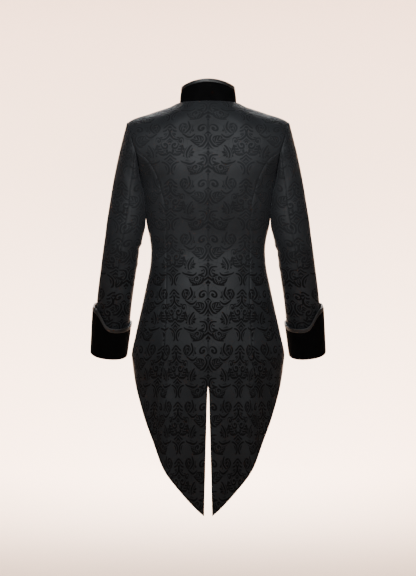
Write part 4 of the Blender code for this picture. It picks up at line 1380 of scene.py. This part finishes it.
# %% The cuffs
CUFF_PEAK_DROP = 0.552
CUFF_STAND_OFF = 0.0079
CUFF_OUTER_EXTRA = 0.0030
CUFF_EDGE_TUCK = 0.0030
CUFF_CORNER = 0.0035
CUFF_INSET = 0.8 * CLOTH
CUFF_ROWS = 12
CUFF_CORNER_TURNS = [15, 30, 45, 60, 75, 90]
CUFF_CALM_AT_EDGE = 0.3
CUFF_PLAIN_ROWS = 9
TUCK_REACH = 0.011
BINDING_WIDTH = 0.0085
# angle round the arm, drop of the cuff's top below its peak
CUFF_TOP = [
    (0.0, 0.000), (30.0, 0.0015), (45.0, 0.006), (60.0, 0.0195), (73.0, 0.035), (85.0, 0.0425),
    (97.0, 0.044), (180.0, 0.037),
]
CUFF_ANGLES = [0, 22, 42, 58, 72, 86, 104, 128, 154, 180]
EDGE_LEVELS = [0.0, 0.0012, 0.0035, 0.0060, BINDING_WIDTH, TUCK_REACH]
CUFF_CREASES = [
    ((20, -0.625), (80, -0.640), 0.0012, 0.0100),
    ((100, -0.650), (165, -0.632), -0.0010, 0.0090),
    ((300, -0.622), (345, -0.606), 0.0012, 0.0110),
    ((205, -0.640), (262, -0.655), -0.0011, 0.0090),
]
(cuff_drop,) = columns(CUFF_TOP)
# where the stitches run, as a share of the way between two rows of the edging
SEWN_SHARE = 0.45
SEWN_LINES = {}


def cuff_points():
    """Rows of points down the cuff, round its lower corner and in under the sleeve's end."""
    half = refine(CUFF_ANGLES, 4, False, False)
    angles = np.concatenate([half, 360 - half[-2:0:-1]])
    outward = np.cos(np.radians(angles))
    top = CUFF_PEAK_DROP + cuff_drop(np.minimum(angles, 360 - angles))
    stand = CUFF_STAND_OFF + CUFF_OUTER_EXTRA * outward
    tuck = CUFF_EDGE_TUCK * np.maximum(outward, 0.0)
    rim = CUFF_BOTTOM_DROP - CUFF_CORNER
    path = [(stand - tuck * (1 - level / TUCK_REACH), top + level) for level in EDGE_LEVELS]
    for share in np.linspace(0, 1, CUFF_ROWS + 1)[1:]:
        path.append((stand, mix(top + TUCK_REACH, rim, share)))
    for turn in np.radians(CUFF_CORNER_TURNS):
        path.append((stand - CUFF_CORNER * (1 - np.cos(turn)), rim + CUFF_CORNER * np.sin(turn) + 0 * top))
    for share in (0.5, 1.0):
        path.append((mix(stand - CUFF_CORNER, -CUFF_INSET, share), CUFF_BOTTOM_DROP + 0 * top))
    return np.array([arm_point(angles, -drop, off) for off, drop in path])


def edging(name, outer, inner, flat, wrap):
    """A folded strip of satin over the top rows of a wall, on both of its faces."""
    legs = len(EDGE_LEVELS) - 2
    # the grid of a tube runs the other way round, so its outward direction is flipped
    away = directions(outer, wrap, wrap)[:legs + 1]
    rise = unit(outer[0] - outer[1])
    up = unit(rise - away[0] * (rise * away[0]).sum(axis=-1, keepdims=True))
    shells = []
    for off in (SEAM_GAP, SEAM_GAP + SATIN):
        rows = [outer[i] + away[i] * off for i in range(legs, 0, -1)]
        for face, turns in ((outer[0], (0, 30, 60, 90)), (inner[0], (90, 120, 150, 180))):
            for turn in np.radians(turns):
                rows.append(face + (away[0] * math.cos(turn) + up * math.sin(turn)) * off)
        rows += [inner[i] - away[i] * off for i in range(1, legs + 1)]
        shells.append(np.array(rows))
    down = run_lengths(shells[1], 0)
    places = np.stack([np.repeat(flat[:1, :, 0], len(down), axis=0), down], axis=-1)
    CUTS[name] = cut_of(shells[1], wrap)
    SEWN_LINES[name] = (mix(shells[1][0], shells[1][1], SEWN_SHARE), away[legs], wrap)
    return wall(name, shells[1], shells[0], places, [satin], wrap)


def cuff_surface(angle, z):
    return arm_point(angle, z, CUFF_STAND_OFF)


cuffs, cuff_edges = [], []
cuff_base = cuff_points()
cuff_flat = np.stack([run_lengths(cuff_base, 1), -run_lengths(cuff_base, 0)], axis=-1)
for side in ("left", "right"):
    raised = crease_relief(cuff_base, cuff_surface, CUFF_CREASES, side == "right")
    raised[:len(EDGE_LEVELS)] *= CUFF_CALM_AT_EDGE
    raised[-CUFF_PLAIN_ROWS:] = 0.0
    outer = cuff_base + directions(cuff_base, True, True) * raised[..., None]
    inner = outer - directions(outer, True, True) * VELVET
    if side == "right":
        outer, inner = mirror(outer)[:, ::-1], mirror(inner)[:, ::-1]
    cuffs.append(wall(f"cuff_velvet_{side}", outer, inner, cuff_flat, [velvet], True))
    CUTS[cuffs[-1].name] = cut_of(outer, True)
    cuff_edges.append(edging(f"cuff_edging_{side}", outer, inner, cuff_flat, True))
print("cuffs:", [(one.name, len(one.data.polygons)) for one in cuffs + cuff_edges])

# %% The collar
COLLAR_BACK_HEIGHT = 0.060
COLLAR_SIDE_HEIGHT = 0.044
COLLAR_FRONT_HEIGHT = 0.042
COLLAR_LEAN = 0.006
COLLAR_END_ANGLE = 85.5
COLLAR_BASE_LAP = 0.0016
COLLAR_LAP_RISE = 0.0016
COLLAR_RISE_FROM = 0.050
COLLAR_BULGE = 0.0012
COLLAR_IN = 0.0004
COLLAR_SEAM_RISE = 0.0105
COLLAR_SEAM_WIDTH = 0.0011
COLLAR_SEAM_DEPTH = 0.0008
COLLAR_FRONT_FROM = 60
COLLAR_ROWS = 7
# rows above and below the collar's seam
COLLAR_SEAM_LEVELS = [
    0.0030, 0.0018, 0.0011, 0.0005, 0.0, -0.0005, -0.0011, -0.0018, -0.0040, -0.0070, -0.0095]


def neck_ring():
    """The neckline from the throat round the nape to the throat, with the collar's height there."""
    back = np.radians(refine(BACK_NECK_ANGLES + [90], 6, False, False)[:-1])
    x = NECK_HALF_WIDTH * np.sin(back)
    z = back_neck_height(x)
    points = list(body_point(angle_at(x, z), z))
    heights = list(mix(COLLAR_SIDE_HEIGHT, COLLAR_BACK_HEIGHT, np.cos(back) ** 2))
    last = math.degrees(math.acos(LAP_FULL_FROM / NECK_HALF_WIDTH))
    front = refine(FRONT_NECK_ANGLES + [last, COLLAR_END_ANGLE], 4, False, True)
    x, z = front_neck(front)
    points += list(body_point(angle_at(x, z, front=True), z))
    heights += list(mix(COLLAR_SIDE_HEIGHT, COLLAR_FRONT_HEIGHT, ease(front / COLLAR_FRONT_FROM)))
    points, heights = np.array(points), np.array(heights)
    return np.concatenate([mirror(points)[:0:-1], points]), np.concatenate([heights[:0:-1], heights])


def collar_points():
    """Rows from the collar's top down to the neckline, and how far each lies above it."""
    ring, heights = neck_ring()
    radial = unit(ring * np.array([1.0, 1.0, 0.0]))
    base = ring - radial * COLLAR_IN
    rise = COLLAR_LAP_RISE * ease((COLLAR_RISE_FROM - np.abs(ring[:, 0])) / LAP_FULL_FROM)
    base[:, 2] += np.where(ring[:, 1] < 0, rise, 0.0) - COLLAR_BASE_LAP
    top = base - radial * COLLAR_LEAN
    top[:, 2] += heights
    above = [heights - level for level in EDGE_LEVELS]
    seam = COLLAR_SEAM_RISE
    for share in np.linspace(0, 1, COLLAR_ROWS + 1)[1:-1]:
        above.append(mix(heights - TUCK_REACH, seam + COLLAR_SEAM_LEVELS[0], share))
    for level in COLLAR_SEAM_LEVELS:
        above.append(seam + level + 0 * heights)
    above.append(0 * heights)
    above = np.array(above)
    level = (above / heights)[..., None]
    groove = COLLAR_SEAM_DEPTH * np.exp(-((above - seam) / COLLAR_SEAM_WIDTH) ** 2)
    out = COLLAR_BULGE * np.sin(np.pi * level) - groove[..., None]
    return mix(base, top, level) + radial * out, above


collar_base, collar_above = collar_points()
collar_flat = np.stack([run_lengths(collar_base, 1), collar_above], axis=-1)
collar_inner = collar_base - directions(collar_base) * VELVET
collar = wall("collar_velvet", collar_base, collar_inner, collar_flat, [velvet])
CUTS[collar.name] = cut_of(collar_base)
collar_edge = edging("collar_edging", collar_base, collar_inner, collar_flat, False)
print("collar:", len(collar.data.polygons), "faces, edging:", len(collar_edge.data.polygons))

# %% [markdown]
# ## Buttons and stitches
# Buttons and stitches repeat, so Geometry Nodes set them out. The button is turned once as a
# revolved profile and placed on points that carry the cloth's outward direction. A stitch is a
# short thread with rounded ends, set along a line at an even pitch. Each tree ends by making its
# copies real, so that the result is plain mesh.

# %% One button and one stitch
BUTTON_RADIUS = 0.009
BUTTON_THICKNESS = 0.0042
BUTTON_COUNT = 6
FIRST_BUTTON_DROP = 0.106
BUTTON_SPACING = 0.066
BUTTON_SIDES = 48
# share of the radius, share of the thickness
BUTTON_PROFILE = [
    (0.88, 0.00), (0.96, 0.10), (1.00, 0.24), (1.00, 0.40), (0.97, 0.52), (0.92, 0.58), (0.86, 0.60),
    (0.80, 0.59), (0.76, 0.57), (0.72, 0.59), (0.66, 0.68), (0.56, 0.79), (0.42, 0.89), (0.26, 0.96),
    (0.10, 0.995),
]
STITCH_SIDES = 6
# radius, place along the stitch: one metre thick and one metre long, to be scaled
STITCH_PROFILE = [(0.275, -0.44), (0.45, -0.30), (0.5, 0.0), (0.45, 0.30), (0.275, 0.44)]


def turned_pattern(name, rings, sides, bottom, top, axes=(0, 1, 2)):
    """A closed turned shape from its rings, with a tip at its top and a tip or a flat face below."""
    turns = [TURN * k / sides for k in range(sides)]
    points = [(radius * math.cos(turn), radius * math.sin(turn), height)
              for radius, height in rings for turn in turns]
    last = len(points) - sides
    faces = []
    for k in range(sides):
        n = (k + 1) % sides
        for low in range(0, last, sides):
            faces.append((low + k, low + n, low + sides + n, low + sides + k))
        faces.append((last + k, last + n, last + sides))
        if bottom is not None:
            faces.append((last + sides + 1, n, k))
    points.append((0.0, 0.0, top))
    if bottom is None:
        faces.append(tuple(reversed(range(sides))))
    else:
        points.append((0.0, 0.0, bottom))
    mesh = bpy.data.meshes.new(name)
    mesh.from_pydata([tuple(point[axis] for axis in axes) for point in points], [], faces)
    mesh.shade_smooth()
    return bpy.data.objects.new(name, mesh)


button_rings = [(radius * BUTTON_RADIUS, height * BUTTON_THICKNESS) for radius, height in BUTTON_PROFILE]
button_shape = turned_pattern("button_pattern", button_rings, BUTTON_SIDES, None, BUTTON_THICKNESS)
stitch_shape = turned_pattern("stitch_pattern", STITCH_PROFILE, STITCH_SIDES, -0.5, 0.5, (2, 0, 1))
print("patterns:", [(one.name, len(one.data.polygons)) for one in (button_shape, stitch_shape)])

# %% The trees that set them out
ALIGN = "FunctionNodeAlignRotationToVector"
STITCH_WOBBLE = 0.06


def new_tree(name, *inputs):
    """A Geometry Nodes tree that puts a pattern on points, and its two ends."""
    sockets = [("Geometry", "Geometry"), ("Pattern", "Object"), ("Material", "Material"), *inputs]
    return new_group(name, "Geometry", sockets, ("Geometry", "Geometry"))


def facing_attribute(tree):
    """The outward direction that each point carries."""
    return node(tree, "GeometryNodeInputNamedAttribute", {"Name": "facing"},
                data_type="FLOAT_VECTOR").outputs["Attribute"]


def close_tree(tree, source, sink, points, rotation, scale):
    """Put the pattern on the points, make the copies real and give them their material."""
    pattern = node(tree, "GeometryNodeObjectInfo", {"Object": source["Pattern"]})
    copies = node(tree, "GeometryNodeInstanceOnPoints", {
        "Points": points, "Instance": pattern.outputs["Geometry"], "Rotation": rotation, "Scale": scale})
    real = node(tree, "GeometryNodeRealizeInstances", {"Geometry": copies.outputs["Instances"]})
    painted = node(tree, "GeometryNodeSetMaterial", {
        "Geometry": real.outputs["Geometry"], "Material": source["Material"]})
    tree.links.new(painted.outputs["Geometry"], sink["Geometry"])
    return tree


def button_tree():
    """A button on each point, with its axis along the point's outward direction."""
    tree, source, sink = new_tree("buttons")
    turned_out = node(tree, ALIGN, {"Vector": facing_attribute(tree)}, axis="Z")
    rotation = turned_out.outputs["Rotation"]
    return close_tree(tree, source, sink, source["Geometry"], rotation, (1.0, 1.0, 1.0))


def stitch_tree():
    """Stitches along lines, at an even pitch, each laid along its line with a small wobble."""
    tree, source, sink = new_tree("stitches", ("Pitch", "Float"), ("Length", "Float"),
                                  ("Thickness", "Float"), ("Seed", "Int"))
    line = node(tree, "GeometryNodeMeshToCurve", {"Mesh": source["Geometry"]})
    points = node(tree, "GeometryNodeCurveToPoints", {
        "Curve": line.outputs["Curve"], "Length": source["Pitch"]}, mode="LENGTH").outputs
    along = node(tree, ALIGN, {"Vector": points["Tangent"]}, axis="X")
    upright = node(tree, ALIGN, {
        "Rotation": along.outputs["Rotation"], "Vector": facing_attribute(tree)}, axis="Z", pivot_axis="X")
    wobble = node(tree, "FunctionNodeRandomValue", {
        "Min": -STITCH_WOBBLE, "Max": STITCH_WOBBLE, "Seed": source["Seed"]}, data_type="FLOAT")
    angles = node(tree, "ShaderNodeCombineXYZ", {"Z": wobble.outputs["Value"]})
    lean = node(tree, "FunctionNodeEulerToRotation", {0: angles.outputs[0]})
    rotation = node(tree, "FunctionNodeRotateRotation", {
        "Rotation": upright.outputs["Rotation"], "Rotate By": lean.outputs["Rotation"],
    }, rotation_space="LOCAL")
    thickness = source["Thickness"]
    size = node(tree, "ShaderNodeCombineXYZ", {"X": source["Length"], "Y": thickness, "Z": thickness})
    return close_tree(tree, source, sink, points["Points"], rotation.outputs["Rotation"], size.outputs[0])


BUTTON_TREE = button_tree()
STITCH_TREE = stitch_tree()


def set_out(name, tree, points, facing, lines, values):
    """Run a tree on points with outward directions, and keep the result as a plain mesh."""
    mesh = bpy.data.meshes.new(name + "_points")
    mesh.from_pydata([tuple(p) for p in points], lines, [])
    attribute = mesh.attributes.new("facing", "FLOAT_VECTOR", "POINT")
    attribute.data.foreach_set("vector", np.array(facing, dtype=np.float32).ravel())
    carrier = add_object(name + "_carrier", mesh)
    modifier = carrier.modifiers.new("set out", "NODES")
    modifier.node_group = tree
    for item in tree.interface.items_tree:
        if item.in_out == "INPUT" and item.name in values:
            modifier[item.identifier] = values[item.name]
    bpy.context.view_layer.update()
    evaluated = carrier.evaluated_get(bpy.context.evaluated_depsgraph_get())
    result = bpy.data.meshes.new_from_object(evaluated)
    carrier.modifiers.remove(modifier)
    bpy.data.objects.remove(carrier)
    return add_object(name, result)


print("trees:", [(tree.name, len(tree.nodes)) for tree in (BUTTON_TREE, STITCH_TREE)])

# %% Buttons on the left front
def button_seats():
    """Where the buttons sit on the lapped front, and the outward direction there."""
    places, facing = [], []
    reach = 2 * BUTTON_RADIUS
    for i in range(BUTTON_COUNT):
        z = np.array(-FIRST_BUTTON_DROP - i * BUTTON_SPACING)
        low, seat, high = (body_point(180.0, z + step) for step in (-reach, 0.0, reach))
        right, left = body_point(176.0, z), body_point(184.0, z)
        away = unit(np.cross(left - right, low - high))
        away = away * -np.sign(away[1])
        bulge_out = max(float(((low + high) / 2 - seat) @ away), 0.0)
        places.append(seat + away * (CLOTH + LAP_GAP + SEAM_GAP + bulge_out))
        facing.append(away)
    return places, facing


seats, seat_facing = button_seats()
buttons = set_out("buttons", BUTTON_TREE, seats, seat_facing, [],
                  {"Pattern": button_shape, "Material": button_black})
print("buttons:", len(buttons.data.polygons), "faces, box",
      [round(value, 3) for value in (*buttons.bound_box[0], *buttons.bound_box[6])])

# %% Stitches along the edging
STITCH_SINK = 0.00008
STITCH_SIZE = {"Pitch": 0.0032, "Length": 0.0023, "Thickness": 0.00045}

stitches = []
for seed, (name, (points, facing, closed)) in enumerate(SEWN_LINES.items()):
    count = len(points)
    lines = [(i, i + 1) for i in range(count - 1)] + ([(count - 1, 0)] if closed else [])
    stitches.append(set_out(
        name + "_stitches", STITCH_TREE, points - facing * STITCH_SINK, facing, lines,
        {"Pattern": stitch_shape, "Material": thread, "Seed": seed, **STITCH_SIZE}))
print("stitches:", [(one.name, len(one.data.polygons)) for one in stitches])

# %% [markdown]
# ## Putting the cloth in place of the solids
# Each cloth piece takes the place of one solid, which is hidden, and every piece rides on the coat's
# one body, as the coat hangs from its wearer's shoulders. The width, length and area of each piece's
# flat cloth are printed at the end.

# %% Hiding the solids and attaching the pieces to one body
BODY_OF_ALL = "root"
for pieces, node_name in ((backs, "back"), (side_backs, "side_back"), (fronts, "front"),
                          (upper_sleeves, "upper_sleeve"), (under_sleeves, "under_sleeve"),
                          (cuffs, "cuff"), (cuff_edges, "cuff_binding")):
    for piece, side in zip(pieces, ("left", "right")):
        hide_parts(f"{node_name}_{side}")
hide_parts("collar")
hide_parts("collar_binding")
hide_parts(*[f"button_{i + 1}" for i in range(BUTTON_COUNT)])

cloth = backs + side_backs + fronts + upper_sleeves + under_sleeves
for piece in cloth + cuffs + cuff_edges:
    width, length, area = CUTS[piece.name]
    kind, side = piece.name.rsplit("_", 1)
for piece, below in ((collar, "cloth_back_left"), (collar_edge, "collar_velvet")):
    width, length, area = CUTS[piece.name]

for piece in cloth + cuffs + cuff_edges + [collar, collar_edge, buttons] + stitches:
    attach(piece, BODY_OF_ALL)
for name, (width, length, area) in CUTS.items():
    print(f"{name}: {width * 1000:.0f} x {length * 1000:.0f} mm, {area * 10000:.0f} cm2")
